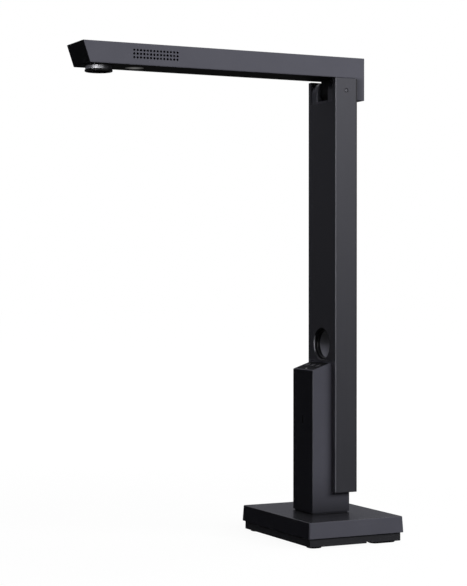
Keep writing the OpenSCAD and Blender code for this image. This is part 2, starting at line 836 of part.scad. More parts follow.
module indicator_window() {
    color(near_black) translate([0, post_y0 + post_wall, indicator_z]) rotate([90, 0, 0]) {
        translate([0, 0, -window_flange_t]) linear_extrude(window_flange_t)
            window_outline(indicator_w + 2 * window_flange, indicator_l + 2 * window_flange);
        translate([0, 0, -window_flange_t / 2]) linear_extrude(window_flange_t / 2 + post_wall - window_sink)
            window_outline(indicator_w - 2 * fit_gap, indicator_l - 2 * fit_gap);
    }
}

module indicator_board() {
    y0 = post_y0 + post_wall + window_flange_t;
    color(board_green) middle_block(indicator_board_w, y0, y0 + board_t, indicator_z - indicator_board_l / 2,
        indicator_z + indicator_board_l / 2);
}

module wear_strips(x0, z0, z1) {
    color(nylon_white) for (sx = [-1, 1])
        translate([sx * (x0 + strip_t / 2), strip_y0 + strip_d / 2, z0])
            linear_extrude(z1 - z0) square([strip_t, strip_d], center = true);
}

module post_wear_strips() {
    wear_strips(post_w / 2, post_strip_z1 - post_strip_l, post_strip_z1);
}

module brake_shoe() {
    color(nylon_white) union() {
        middle_block(brake_w - 2 * fit_gap, shoe_y0, shoe_y1, brake_z - brake_h / 2 + fit_gap,
            brake_z + brake_h / 2 - fit_gap);
        middle_block(brake_w + 2 * shoe_flange, shoe_y0, shoe_y0 + shoe_flange_t,
            brake_z - brake_h / 2 - shoe_flange, brake_z + brake_h / 2 + shoe_flange);
    }
}

module brake_spring() {
    color(steel_grey) translate([0, 0, brake_z]) across(spring_w) intersection() {
        translate([spring_y0, 0]) difference() {
            circle(spring_r, $fn = 96);
            circle(spring_r - spring_t, $fn = 96);
        }
        translate([spring_end_y - cut, -spring_half])
            square([spring_y1 - spring_end_y + 2 * cut, 2 * spring_half]);
    }
}

module post_ribbon() {
    color(ribbon_white) block([-post_in_w / 2, post_mid - ribbon_w / 2, post_floor_z],
        [-post_in_w / 2 + ribbon_t, post_mid + ribbon_w / 2, brake_z - spring_plate_h / 2 - ribbon_spare]);
}

// The column

module column_outline() {
    translate([0, (column_front + column_back) / 2]) rounded_rect(column_w, column_d, column_edge_r);
}

module column_tube() {
    color(case_grey) difference() {
        translate([0, 0, column_z0]) linear_extrude(column_l) difference() {
            column_outline();
            translate([-channel_w / 2, channel_y0]) square([channel_w, channel_y1 - channel_y0]);
        }
        middle_block(post_w + 2 * post_gap, column_front - cut, channel_y0 + cut, column_z0 - cut,
            panel_rear_z + post_gap);
        middle_block(channel_w, column_front - cut, channel_y0 + cut, ear_foot_z, column_z1 + cut);
        middle_block(channel_w, channel_y1 - cut, column_back + cut, back_cut_z, column_z1 + cut);
        translate([0, 0, park_z]) rod_y(cup_r, column_front - cut, channel_y0 + cut);
        at_pin() rod_x(pin_r + pin_ring, -column_w, column_w);
        on_back([-bracket_screw_x, bracket_screw_x], bracket_screw_z) back_screw_hole();
        on_back([-stop_screw_x, stop_screw_x], stop_screw_z) back_screw_hole();
    }
}

module back_screw_hole() {
    rod_y(screw_r + fit_gap, channel_y1 - cut, column_back + cut);
    rod_y(screw_head_r + fit_gap, column_back - screw_head_h, column_back + cut);
}

module back_screw() {
    translate([0, column_back - screw_head_h, 0]) rotate([90, 0, 0])
        screw(screw_head_r, screw_head_h - fit_gap, screw_r - fit_gap, back_screw_l);
}

module column_wear_strips() {
    wear_strips(channel_w / 2 - strip_t, column_strip_z0, column_strip_z1);
}

module travel_stop() {
    color(deep_grey) difference() {
        middle_block(channel_w - 2 * fit_gap, stop_y0, stop_y1, stop_z0, stop_z0 + stop_h);
        middle_block(lead_w, stop_y0 - cut, stop_y1 - stop_web, stop_z0 - cut, stop_z0 + stop_h + cut);
        on_back([-stop_screw_x, stop_screw_x], stop_screw_z) rod_y(screw_r, stop_y0 - cut, stop_y1 + cut);
    }
}

module stop_screws() {
    color(steel_grey) on_back([-stop_screw_x, stop_screw_x], stop_screw_z) back_screw();
}

module parking_cup() {
    color(near_black) translate([0, 0, park_z]) difference() {
        rod_y(cup_r + cup_wall, channel_y0, cup_y1);
        rod_y(cup_r - cup_lip, channel_y0 - cut, pad_y1);
    }
}

module parking_pad() {
    color(deep_grey) translate([0, 0, park_z]) difference() {
        rod_y(pad_r, pad_y0, pad_y1);
        rod_y(pad_bore_r, pad_y0 - cut, pad_seat_y);
        intersection() {
            translate([0, pad_seat_y + pad_dish - pad_sphere_r, 0]) sphere(pad_sphere_r, $fn = 96);
            rod_y(pad_bore_r, pad_seat_y - cut, pad_y1);
        }
    }
}

module column_ribbon() {
    color(ribbon_white) middle_block(ribbon_w, channel_y1 - ribbon_t, channel_y1,
        stop_z0 + stop_h + ribbon_spare, ear_foot_z - bracket_l - ribbon_spare);
}

module hinge_bracket() {
    color(deep_grey) difference() {
        union() {
            middle_block(2 * ear_out, bracket_y0, bracket_y1, ear_foot_z - bracket_l, ear_foot_z);
            middle_block(2 * ear_out, pin_y - ear_r, bracket_y1, ear_foot_z, pin_z);
            intersection() {
                at_pin() rod_x(ear_r, -ear_out, ear_out);
                middle_block(2 * ear_out, pin_y - ear_r, bracket_y1, pin_z - ear_r, pin_z + ear_r);
            }
        }
        middle_block(2 * ear_in, column_front - cut, bracket_y1 + cut, bracket_floor_z, pin_z + ear_r + cut);
        at_pin() rod_x(pin_r + run_gap, -column_w, column_w);
        middle_block(lead_w, bracket_y1 - lead_d, bracket_y1 - cut, ear_foot_z - bracket_l - cut,
            bracket_floor_z + cut);
        on_back([-bracket_screw_x, bracket_screw_x], bracket_screw_z)
            rod_y(screw_r, bracket_y1 - back_screw_l, bracket_y1 + cut);
    }
}

module bracket_screws() {
    color(steel_grey) on_back([-bracket_screw_x, bracket_screw_x], bracket_screw_z) back_screw();
}

module hinge_pin() {
    color(steel_grey) at_pin() rod_x(pin_r, -column_w / 2 + pin_set, column_w / 2 - pin_set);
}

module friction_washers() {
    color(steel_grey) at_pin() for (sx = [-1, 1])
        translate([sx * (ear_in - fit_gap - washer_t / 2), 0, 0]) difference() {
            rod_x(washer_r, -washer_t / 2, washer_t / 2);
            rod_x(pin_r + run_gap, -washer_t, washer_t);
        }
}

// The arm

module arm_profile() {
    polygon([
        [tip_y0, arm_z0], [tip_y1, arm_z1], [tab_y1, arm_z1],
        [tab_y1, tab_z0], [tab_y0, tab_z0], [tab_y0, arm_z0]
    ]);
}

module arm_hollow_profile() {
    lean = (arm_h - arm_wall) * tan(tip_slant);
    polygon([
        [bottom_y0 - fit_gap, arm_z0 - cut], [bottom_y0 - fit_gap, arm_z0 + bottom_t],
        [bottom_y0 - fit_gap - lean + bottom_t * tan(tip_slant), arm_in_z1], [tab_y1 - arm_wall, arm_in_z1],
        [tab_y1 - arm_wall, tab_z0 + arm_wall], [tab_y0 - cut, tab_z0 + arm_wall], [tab_y0 - cut, arm_z0 - cut]
    ]);
}

module arm_housing() {
    color(case_grey) difference() {
        union() {
            difference() {
                intersection() {
                    across(arm_w) arm_profile();
                    translate([0, (tip_y1 + tab_y1) / 2, (tab_z0 + arm_z1) / 2]) rotate([90, 0, 0])
                        linear_extrude(tab_y1 - tip_y1 + 2 * cut, center = true)
                            rounded_rect(arm_w, arm_z1 - tab_z0, arm_edge_r);
                }
                across(arm_in_w) arm_hollow_profile();
            }
            for (sx = [-1, 1], y = tongue_screw_ys)
                translate([sx * tongue_screw_x, y, 0]) rod_z(boss_r, flange_z1, arm_in_z1 + cut);
        }
        for (sx = [-1, 1], y = tongue_screw_ys) translate([sx * tongue_screw_x, y, 0])
            rod_z(screw_r, flange_z1 - cut, flange_z0 + screw_head_h + tongue_screw_l + room);
        translate([0, grille_y0, grille_z]) for (i = [0 : grille_columns - 1], j = [0 : grille_rows - 1])
            translate([0, i * grille_pitch, (j - (grille_rows - 1) / 2) * grille_pitch])
                rod_x(grille_r, arm_in_w / 2 - cut, arm_w / 2 + cut);
    }
}

module arm_bottom_cover() {
    color(deep_grey) difference() {
        union() {
            middle_block(bottom_w, bottom_y0, tab_y0 + bottom_t, arm_z0, bottom_z1);
            middle_block(bottom_w, tab_y0, tab_y0 + bottom_t, tab_z0 + arm_wall + fit_gap, bottom_z1);
            translate([0, lens_y, 0]) four_corners(camera_boss_x, camera_boss_y)
                rod_z(camera_boss_r, arm_z0, camera_board_z0);
        }
        translate([0, lens_y, 0]) {
            rod_z(barrel_r + fit_gap, arm_z0 - cut, bottom_z1 + cut);
            four_corners(camera_boss_x, camera_boss_y)
                rod_z(camera_screw_r, camera_board_z0 - camera_screw_l, camera_board_z0 + cut);
        }
        translate([0, lamp_y, 0]) rod_z(lamp_r + fit_gap, arm_z0 - cut, bottom_z1 + cut);
        middle_block(tongue_w + 4 * fit_gap, pin_y - neck_half - 2 * fit_gap, pin_y + neck_half + 2 * fit_gap,
            arm_z0 - cut, bottom_z1 + cut);
    }
}

module hinge_tongue() {
    color(deep_grey) difference() {
        union() {
            at_pin() rod_x(knuckle_r, -tongue_w / 2, tongue_w / 2);
            middle_block(tongue_w, pin_y - neck_half, pin_y + neck_half, pin_z, flange_z1);
            middle_block(flange_w, flange_y0, flange_y1, flange_z0, flange_z1);
        }
        at_pin() rod_x(pin_r + run_gap, -tongue_w, tongue_w);
        for (sx = [-1, 1], y = tongue_screw_ys) translate([sx * tongue_screw_x, y, 0]) {
            rod_z(screw_r + fit_gap, flange_z0 - cut, flange_z1 + cut);
            rod_z(screw_head_r + fit_gap, flange_z0 - cut, flange_z0 + screw_head_h);
        }
    }
}

module tongue_screws() {
    color(steel_grey) for (sx = [-1, 1], y = tongue_screw_ys)
        translate([sx * tongue_screw_x, y, flange_z0 + screw_head_h])
            small_screw(tongue_screw_l);
}

// The camera. Heights inside a turned profile are counted from the lens ring's lower face

module turned_at_lens(z) {
    translate([0, lens_y, z]) rotate_extrude($fn = 96) children();
}

module lens_barrel() {
    seat = lens_h + bottom_t;
    color(steel_grey) turned_at_lens(lens_z0) polygon([
        [glass_r + fit_gap, ring_h], [barrel_r, ring_h], [barrel_r, seat], [barrel_flange_r, seat],
        [barrel_flange_r, seat + barrel_flange_t], [barrel_bore_r, seat + barrel_flange_t],
        [barrel_bore_r, ring_h + glass_t], [glass_r + fit_gap, ring_h + glass_t]
    ]);
}

module lens_ring() {
    color(near_black) turned_at_lens(lens_z0) polygon([
        [lens_r - ring_wall, ring_bevel], [lens_r - ring_wall + ring_bevel, 0], [lens_r - ring_bevel, 0],
        [lens_r, ring_bevel], [lens_r, ring_h], [lens_r - ring_wall, ring_h]
    ]);
}

module lens_glass() {
    color(glass_tint) translate([0, lens_y, lens_z0]) rod_z(glass_r, ring_h, ring_h + glass_t);
}

module lens_cell() {
    color(near_black) translate([0, lens_y, 0]) difference() {
        union() {
            rod_z(cell_r, cell_z0, camera_board_z0);
            translate([0, 0, camera_board_z0 - cell_base_h])
                linear_extrude(cell_base_h) square(cell_base, center = true);
        }
        rod_z(cell_bore_r, cell_z0 - cut, camera_board_z0 + cut);
    }
}

module front_element() {
    crown_r = (element_r * element_r + element_sag * element_sag) / (2 * element_sag);
    color(glass_tint) translate([0, lens_y, cell_z0 + cell_drop]) intersection() {
        rod_z(element_r, 0, element_h);
        translate([0, 0, crown_r]) sphere(crown_r, $fn = 96);
    }
}

module image_sensor() {
    color(near_black) translate([0, lens_y, camera_board_z0 - sensor_t])
        linear_extrude(sensor_t) square([sensor_w, sensor_d], center = true);
}

module camera_board() {
    color(board_green) translate([0, lens_y, camera_board_z0]) difference() {
        linear_extrude(board_t) square([camera_board_w, camera_board_d], center = true);
        four_corners(camera_boss_x, camera_boss_y) rod_z(camera_screw_r + fit_gap, -cut, board_t + cut);
    }
}

module camera_screws() {
    color(steel_grey) translate([0, lens_y, camera_board_z0 + board_t])
        four_corners(camera_boss_x, camera_boss_y) mirror([0, 0, 1])
            screw(camera_boss_r - fit_gap, screw_head_h, camera_screw_r - fit_gap, camera_screw_l);
}

module turned_at_lamp() {
    translate([0, lamp_y, arm_z0]) rotate_extrude($fn = 96) children();
}

module lamp_lens() {
    color(lamp_white) turned_at_lamp() polygon([
        [0, -lamp_proud], [lamp_r, -lamp_proud], [lamp_r, bottom_t], [lamp_r + lamp_flange, bottom_t],
        [lamp_r + lamp_flange, bottom_t + lamp_flange_t], [0, bottom_t + lamp_flange_t]
    ]);
}

module lamp_reflector() {
    mouth = lamp_r + lamp_flange;
    throat = diode_ring_r + diode_w + room;
    color(steel_grey) turned_at_lamp() polygon([
        [mouth - lamp_cup_wall, lamp_cup_z0], [mouth, lamp_cup_z0], [mouth, lamp_cup_z0 + lamp_cup_h],
        [throat, lamp_cup_z0 + lamp_cup_h]
    ]);
}

module lamp_board() {
    z0 = arm_z0 + lamp_cup_z0 + lamp_cup_h;
    color(board_green) translate([0, lamp_y, 0]) rod_z(lamp_board_r, z0, z0 + board_t);
}

module lamp_diodes() {
    color(lamp_white) translate([0, lamp_y, arm_z0 + lamp_cup_z0 + lamp_cup_h - diode_h])
        for (i = [0 : diode_count - 1]) rotate([0, 0, i * 360 / diode_count]) translate([diode_ring_r, 0, 0])
            linear_extrude(diode_h) square(diode_w, center = true);
}

// A frame or a plate on the arm's right wall, drawn along Y and Z round the grille's middle
module on_grille(x0, x1) {
    translate([x0, grille_y0 + grille_l / 2, grille_z]) rotate([90, 0, 90]) linear_extrude(x1 - x0) children();
}

module speaker() {
    color(near_black) difference() {
        on_grille(speaker_x1 - speaker_t, speaker_x1) rounded_rect(gasket_l, gasket_h, gasket_edge_r);
        on_grille(speaker_x1 - cone_dish, speaker_x1 + cut)
            rounded_rect(gasket_l - 2 * gasket_rim, 2 * cone_r, cone_r - fit_gap);
    }
}

module speaker_gasket() {
    color(deep_grey) on_grille(speaker_x1, speaker_x1 + gasket_t) difference() {
        rounded_rect(gasket_l, gasket_h, gasket_edge_r);
        rounded_rect(gasket_l - 2 * gasket_rim, gasket_h - 2 * gasket_rim, gasket_edge_r / 2);
    }
}

module arm_ribbon() {
    color(ribbon_white) middle_block(ribbon_w, lens_y - camera_board_d / 4, flange_y0 - ribbon_spare,
        arm_in_z1 - ribbon_t, arm_in_z1);
}

base_tray();
rubber_feet();
counterweight();
base_cover();
tray_screws();
main_board();
cable_socket();
board_screws();
post_shell();
post_screws();
control_panel();
status_light();
key_board();
key_switches();
left_key();
middle_key();
right_key();
indicator_window();
indicator_board();
post_wear_strips();
brake_shoe();
brake_spring();
post_ribbon();
column_tube();
column_wear_strips();
travel_stop();
stop_screws();
parking_cup();
parking_pad();
column_ribbon();
hinge_bracket();
bracket_screws();
hinge_pin();
friction_washers();
arm_housing();
arm_bottom_cover();
hinge_tongue();
tongue_screws();
lens_barrel();
lens_ring();
lens_glass();
lens_cell();
front_element();
image_sensor();
camera_board();
camera_screws();
lamp_lens();
lamp_reflector();
lamp_board();
lamp_diodes();
speaker();
speaker_gasket();
arm_ribbon();
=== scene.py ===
"""An overhead document scanner: a weighted base, a post, a column that slides up it, and a camera arm.

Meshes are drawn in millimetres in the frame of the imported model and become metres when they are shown:
+Z is up, the arm reaches towards -Y, and the origin is on the desk under the base's middle.
"""

from math import acos, cos, pi, radians, tan

import bmesh
import bpy
from mathutils import Matrix, Vector


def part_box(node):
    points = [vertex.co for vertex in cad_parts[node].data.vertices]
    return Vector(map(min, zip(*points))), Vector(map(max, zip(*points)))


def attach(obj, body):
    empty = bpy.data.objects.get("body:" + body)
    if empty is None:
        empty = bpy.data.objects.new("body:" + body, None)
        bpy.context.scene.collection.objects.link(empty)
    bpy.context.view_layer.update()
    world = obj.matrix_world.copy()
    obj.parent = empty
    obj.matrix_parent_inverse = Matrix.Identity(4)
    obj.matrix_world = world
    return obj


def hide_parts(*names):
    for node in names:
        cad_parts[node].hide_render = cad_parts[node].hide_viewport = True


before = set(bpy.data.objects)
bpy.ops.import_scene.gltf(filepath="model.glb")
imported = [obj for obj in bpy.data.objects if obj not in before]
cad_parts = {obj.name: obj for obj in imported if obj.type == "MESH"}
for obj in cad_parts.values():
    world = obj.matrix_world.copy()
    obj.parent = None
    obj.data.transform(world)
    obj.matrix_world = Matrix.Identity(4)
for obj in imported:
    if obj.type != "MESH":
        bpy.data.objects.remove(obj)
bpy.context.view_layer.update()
scene = bpy.context.scene

# The studio: a white sweep, one large soft lamp behind the scanner's right side, and weak lamps for the
# sides that face away from it. A room that only shines in mirrors stands round it, with a bright screen in
# front. The camera stands low at the right of the front and looks almost level at the column.
MM = 0.001
CAMERA_AT, CAMERA_YAW, CAMERA_PITCH = (1.16721, -0.65430, 0.20765), radians(63.76), radians(0.48)
SENSOR_H, FOCAL_LENGTH = 24, 67.755

camera = bpy.data.objects.new("camera", bpy.data.cameras.new("camera"))
camera.data.sensor_fit = "VERTICAL"
camera.data.sensor_height = SENSOR_H
camera.data.lens = FOCAL_LENGTH
camera.location = CAMERA_AT
camera.rotation_euler = (pi / 2 - CAMERA_PITCH, 0, CAMERA_YAW)
scene.collection.objects.link(camera)
scene.camera = camera
scene.view_settings.view_transform = "Standard"


def softbox(name, place, aim, width, height, power):
    """A rectangular lamp that shines from place to aim, in metres."""
    lamp = bpy.data.objects.new(name, bpy.data.lights.new(name, "AREA"))
    lamp.data.shape = "RECTANGLE"
    lamp.data.size, lamp.data.size_y = width, height
    lamp.data.energy = power
    lamp.location = place
    lamp.rotation_euler = (Vector(aim) - Vector(place)).to_track_quat("-Z", "Y").to_euler()
    lamp.visible_camera = False
    scene.collection.objects.link(lamp)
    return lamp


AIM, LOW_AIM = (0, -0.05, 0.22), (0, 0, 0.2)
key_lamp = softbox("key_lamp", (1.8, 0.92, 1.06), AIM, 2.0, 0.9, 44)
softbox("fill_lamp", (1.95, -0.2, 0.75), AIM, 0.9, 0.8, 6)
softbox("left_lamp", (-1.2, 0.2, 1.6), LOW_AIM, 0.9, 0.9, 5)
softbox("back_lamp", (-0.2, 1.7, 0.9), LOW_AIM, 1.2, 0.9, 8)


class Wire:
    """A socket of a node tree. Operators on it add Math nodes, and node adds any other node beside it."""

    def __init__(self, tree, socket=None):
        self.tree, self.socket = tree, socket

    def node(self, kind, settings=None, sockets=None, out=0):
        made = self.tree.nodes.new(kind)
        for key, value in (settings or {}).items():
            setattr(made, key, value)
        for key, value in (sockets or {}).items():
            if isinstance(value, Wire):
                self.tree.links.new(value.socket, made.inputs[key])
            else:
                made.inputs[key].default_value = value
        return Wire(self.tree, made.outputs[out] if made.outputs else None)

    def math(self, operation, *values, clamp=False):
        settings = {"operation": operation, "use_clamp": clamp}
        return self.node("ShaderNodeMath", settings, dict(enumerate(values)))

    def share(self, start, end):
        """0 up to the value start, 1 from the value end, and even between them."""
        return self.math("DIVIDE", self - start, end - start, clamp=True)

    def band(self, start, end):
        """A share between two lengths in millimetres."""
        return self.share(start * MM, end * MM)

    def __abs__(self):
        return self.math("ABSOLUTE", self)

    def __add__(self, other):
        return self.math("ADD", self, other)

    def __sub__(self, other):
        return self.math("SUBTRACT", self, other)

    def __mul__(self, other):
        return self.math("MULTIPLY", self, other)

    def __pow__(self, other):
        return self.math("POWER", self, other)

    __radd__ = __add__
    __rmul__ = __mul__


def paint(red, green, blue):
    """A colour as it reads on a screen, from 0 to 255, in the linear light that shaders take."""
    parts = [c / 255 for c in (red, green, blue)]
    return tuple(c / 12.92 if c <= 0.04045 else ((c + 0.055) / 1.055) ** 2.4 for c in parts) + (1.0,)


def tint(share, low, high):
    """From the colour low to the colour high by a share from 0 to 1."""
    return share.node("ShaderNodeMix", {"data_type": "RGBA"}, {0: share, 6: low, 7: high}, out=2)


def axes(place):
    """The three parts of a place or a direction."""
    return [place.node("ShaderNodeSeparateXYZ", sockets={"Vector": place}, out=axis) for axis in "XYZ"]


def span(*parts):
    """How long the step is that has these parts."""
    squares = [part * part for part in parts]
    return sum(squares[1:], squares[0]) ** 0.5


def rays(wire):
    """Whether a ray comes from the camera, from a mirroring surface or through glass."""
    kinds = ("Camera", "Glossy", "Transmission")
    return [wire.node("ShaderNodeLightPath", out=f"Is {kind} Ray") for kind in kinds]


AMBIENT, WHITE, CORNER = paint(9, 9, 10), paint(255, 255, 255), paint(14, 14, 16)
FAR_WALL, LIT_WALL, CEILING = paint(142, 142, 149), paint(78, 78, 83), paint(176, 176, 182)
HORIZON, SCREEN_LIGHT = paint(88, 88, 94), 13.0
CORNER_AT, SCREEN_AT = (-0.87, 0.49), (0.71, -0.7)
CORNER_RISE, CEILING_RISE, SCREEN_RISE = (0.2, 0.4), (0.3, 0.8), (0.28, 0.12)
SKY_RISE, SKY_LEAST = 2.6, 0.25
world = bpy.data.worlds.new("studio")
scene.world = world
world.use_nodes = True
world.node_tree.nodes.clear()
sky = Wire(world.node_tree)
direct, mirrored, through = rays(sky)
right, back, up = axes(sky.node("ShaderNodeTexCoord", out="Generated"))


def towards(x, y):
    """How straight a ray heads for a direction on the compass, from 0 to 1."""
    return sky.math("MAXIMUM", x * right + y * back, 0)


walls = tint(right.share(-1, 1), FAR_WALL, LIT_WALL)
corner_wall = tint(up.share(*CORNER_RISE), HORIZON, CORNER)
walls = tint(towards(*CORNER_AT) ** 2, walls, corner_wall)
walls = tint(up.share(*CEILING_RISE), walls, CEILING)
front_screen = towards(*SCREEN_AT) ** 9 * up.share(*SCREEN_RISE)
walls = tint(front_screen, walls, WHITE)
level = sky.math("MAXIMUM", 1 + SKY_RISE * up, SKY_LEAST) + SCREEN_LIGHT * front_screen
seen = tint(sky.math("MAXIMUM", direct, through), tint(mirrored, AMBIENT, walls), WHITE)
strength = 1 + mirrored * (level - 1)
backdrop = sky.node("ShaderNodeBackground", sockets={"Color": seen, "Strength": strength})
sky.node("ShaderNodeOutputWorld", sockets={"Surface": backdrop})

FLOOR_UNDER, FLOOR_REACH, GLOW_FROM, GLOW_TO, FLOOR_MIRRORED = 0.2, 8, 0.3, 1.2, 0.05
floor_mesh = bmesh.new()
bmesh.ops.create_grid(floor_mesh, x_segments=1, y_segments=1, size=FLOOR_REACH)
bmesh.ops.translate(floor_mesh, vec=(0, 0, -FLOOR_UNDER * MM), verts=floor_mesh.verts)
floor = bpy.data.objects.new("floor", bpy.data.meshes.new("floor"))
floor_mesh.to_mesh(floor.data)
floor_mesh.free()
scene.collection.objects.link(floor)
sweep = bpy.data.materials.new("white_sweep")
sweep.use_nodes = True
sweep.node_tree.nodes.clear()
paper = Wire(sweep.node_tree)
direct, mirrored, through = rays(paper)
watched = paper.math("ADD", direct, through + FLOOR_MIRRORED * mirrored, clamp=True)
spot = paper.node("ShaderNodeTexCoord", out="Object")
far_off = paper.node("ShaderNodeVectorMath", {"operation": "LENGTH"}, {0: spot}, out="Value")
far_off = far_off.share(GLOW_FROM, GLOW_TO)
dim = paper.node("ShaderNodeBsdfDiffuse", sockets={"Color": paint(30, 30, 31)})
matt = paper.node("ShaderNodeBsdfDiffuse", sockets={"Color": paint(84, 84, 84)})
glow = paper.node("ShaderNodeEmission", sockets={"Color": tint(far_off, paint(249, 249, 249), WHITE)})
lit = paper.node("ShaderNodeAddShader", sockets={0: matt, 1: glow})
mixed = paper.node("ShaderNodeMixShader", sockets={0: watched, 1: dim, 2: lit})
paper.node("ShaderNodeOutputMaterial", sockets={"Surface": mixed})
floor.data.materials.append(sweep)

# The tray: a shallow dark moulding that closes the base from below, with a spark-eroded grain.
# It clips into the cover, and four screws from below hold the two together.


def extent(node):
    """A CAD piece's lowest and highest corners, in millimetres."""
    low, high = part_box(node)
    return low / MM, high / MM


def surface(name, looks, **fixed):
    """A material: looks takes the Wire of the piece's own place, in metres, and returns the shader's
    sockets that change over the surface. fixed gives the others, with _ for the spaces in their names."""
    finish = bpy.data.materials.new(name)
    finish.use_nodes = True
    finish.node_tree.nodes.clear()
    place = Wire(finish.node_tree).node("ShaderNodeTexCoord", out="Object")
    sockets = {key.replace("_", " "): value for key, value in fixed.items()}
    shader = place.node("ShaderNodeBsdfPrincipled", sockets={**sockets, **looks(place)})
    place.node("ShaderNodeOutputMaterial", sockets={"Surface": shader})
    return finish


def speckle(place, size, detail=2.0, stretch=(1, 1, 1)):
    """Cloudy noise with spots about size millimetres wide, drawn out where a stretch is below 1."""
    where = place.node("ShaderNodeMapping", sockets={"Vector": place, "Scale": stretch})
    sockets = {"Vector": where, "Scale": 1 / (size * MM), "Detail": detail}
    return place.node("ShaderNodeTexNoise", sockets=sockets)


def relief(height, depth):
    """A bump of depth millimetres from a height between 0 and 1."""
    sockets = {"Strength": 1.0, "Distance": depth * MM, "Height": height}
    return height.node("ShaderNodeBump", sockets=sockets)


def dress(finish, *nodes):
    """Puts a finish on CAD pieces that keep their own shape."""
    for name in nodes:
        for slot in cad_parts[name].material_slots:
            slot.material = finish


def tray_looks(place):
    grain = speckle(place, 0.45, 3)
    cloud = speckle(place, 14, 3)
    return {"Base Color": tint(cloud, paint(28, 28, 31), paint(37, 37, 41)),
            "Roughness": 0.52 + 0.2 * grain, "Normal": relief(grain, 0.05)}


tray_plastic = surface("tray_plastic", tray_looks, Specular_IOR_Level=0.15)
dress(tray_plastic, "base_tray")

# Four feet of moulded black rubber, pressed into pockets under the tray. The rear pair is longer.
# Each has round corners, a soft lower edge and a shallow well in its sole, so that it grips the desk.
CLEAR_ANGLE = radians(40)


def block(low, high):
    """A box between two corners."""
    bm = bmesh.new()
    bmesh.ops.create_cube(bm, size=1)
    bmesh.ops.scale(bm, vec=[h - l for l, h in zip(low, high)], verts=bm.verts)
    bmesh.ops.translate(bm, vec=[(l + h) / 2 for l, h in zip(low, high)], verts=bm.verts)
    return bm


def along(axis):
    """Chooses the edges that run along an axis."""
    return lambda edge: abs((edge.verts[0].co - edge.verts[1].co).normalized()[axis]) > 0.9


def corner(edge):
    """Chooses the edges where two faces meet at a clear angle."""
    return edge.calc_face_angle(0) > CLEAR_ANGLE


def level_with(z):
    """Chooses the corner edges that lie at one height."""
    return lambda edge: corner(edge) and all(abs(v.co.z - z) < 0.01 for v in edge.verts)


def rounded(bm, radius, segments, chosen):
    """Rounds the chosen edges."""
    edges = [edge for edge in bm.edges if chosen(edge)]
    bmesh.ops.bevel(bm, geom=edges, offset=radius, affect="EDGES", segments=segments, profile=0.5,
                    material=-1, clamp_overlap=True)
    return bm


def added(bm, *others):
    """Puts the others' shapes into bm as they are."""
    for other in others:
        mesh = bpy.data.meshes.new("part")
        other.to_mesh(mesh)
        other.free()
        bm.from_mesh(mesh)
        bpy.data.meshes.remove(mesh)
    return bm


def shown(bm, name, *finishes):
    """Turns a shape in millimetres into a piece of the scene, with smooth faces between clear edges."""
    bmesh.ops.scale(bm, vec=(MM, MM, MM), verts=bm.verts)
    mesh = bpy.data.meshes.new(name)
    bm.to_mesh(mesh)
    bm.free()
    for finish in finishes:
        mesh.materials.append(finish)
    mesh.shade_smooth()
    mesh.set_sharp_from_angle(angle=CLEAR_ANGLE)
    piece = bpy.data.objects.new(name, mesh)
    scene.collection.objects.link(piece)
    even = piece.modifiers.new("even_shading", "WEIGHTED_NORMAL")
    even.keep_sharp = True
    return piece


FOOT_W, REAR_FOOT_D, FOOT_CORNER = 10.9, 21.9, 4.5
FOOT_RIM, WELL_SLOPE, WELL_DEPTH, FOOT_SOFT = 1.4, 0.4, 0.4, 0.35


def foot(x, y, depth, low, high):
    bm = block((x - FOOT_W / 2, y - depth / 2, low), (x + FOOT_W / 2, y + depth / 2, high))
    rounded(bm, FOOT_CORNER, 10, along(2))
    sole = min(bm.faces, key=lambda face: face.calc_center_median().z)
    rim = list(sole.edges)
    bmesh.ops.inset_region(bm, faces=[sole], thickness=FOOT_RIM)
    bmesh.ops.inset_region(bm, faces=[sole], thickness=WELL_SLOPE)
    bmesh.ops.translate(bm, vec=(0, 0, WELL_DEPTH), verts=sole.verts)
    return rounded(bm, FOOT_SOFT, 3, lambda edge: edge in rim)


def rubber_looks(place):
    grain = speckle(place, 0.6, 3)
    return {"Base Color": tint(speckle(place, 5), paint(22, 22, 24), paint(34, 34, 36)),
            "Roughness": 0.75 + 0.2 * grain, "Normal": relief(grain, 0.06)}


soft_rubber = surface("soft_rubber", rubber_looks, Specular_IOR_Level=0.2)
low, high = extent("rubber_feet")
FRONT, REAR = (low.y + FOOT_W / 2, FOOT_W), (high.y - REAR_FOOT_D / 2, REAR_FOOT_D)
four_feet = [foot(x, y, depth, low.z, high.z)
             for x in (low.x + FOOT_W / 2, high.x - FOOT_W / 2) for y, depth in (FRONT, REAR)]
feet = shown(added(*four_feet), "moulded_feet", soft_rubber)
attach(feet, "base")
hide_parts("rubber_feet")

# The tray's four screws: zinc-plated steel pan heads with a cross recess, sunk into the tray's floor.
# Their heads show from below, and their shanks go up into bosses under the cover.
UPRIGHT_TO = (Matrix.Rotation(pi / 2, 3, "Y"), Matrix.Rotation(-pi / 2, 3, "X"), Matrix.Identity(3))
WELD = 0.0005


def placed(bm, at, turn=None):
    """Turns a shape by a matrix, and moves it from the origin to a place."""
    if turn:
        bmesh.ops.rotate(bm, cent=(0, 0, 0), matrix=turn, verts=bm.verts)
    bmesh.ops.translate(bm, vec=at, verts=bm.verts)
    return bm


def rod(radius, axis, low, high, at=(0, 0, 0), sides=48, low_radius=None):
    """A round bar along an axis (0, 1 or 2) from low to high. at gives the place of its middle line."""
    bm = bmesh.new()
    bmesh.ops.create_cone(bm, cap_ends=True, segments=sides, radius1=low_radius or radius,
                          radius2=radius, depth=high - low)
    middle = list(at)
    middle[axis] = (low + high) / 2
    return placed(bm, middle, UPRIGHT_TO[axis])


def held(bm, name):
    """An object that only lasts while a shape is cut."""
    mesh = bpy.data.meshes.new(name)
    bm.to_mesh(mesh)
    bm.free()
    thing = bpy.data.objects.new(name, mesh)
    scene.collection.objects.link(thing)
    return thing


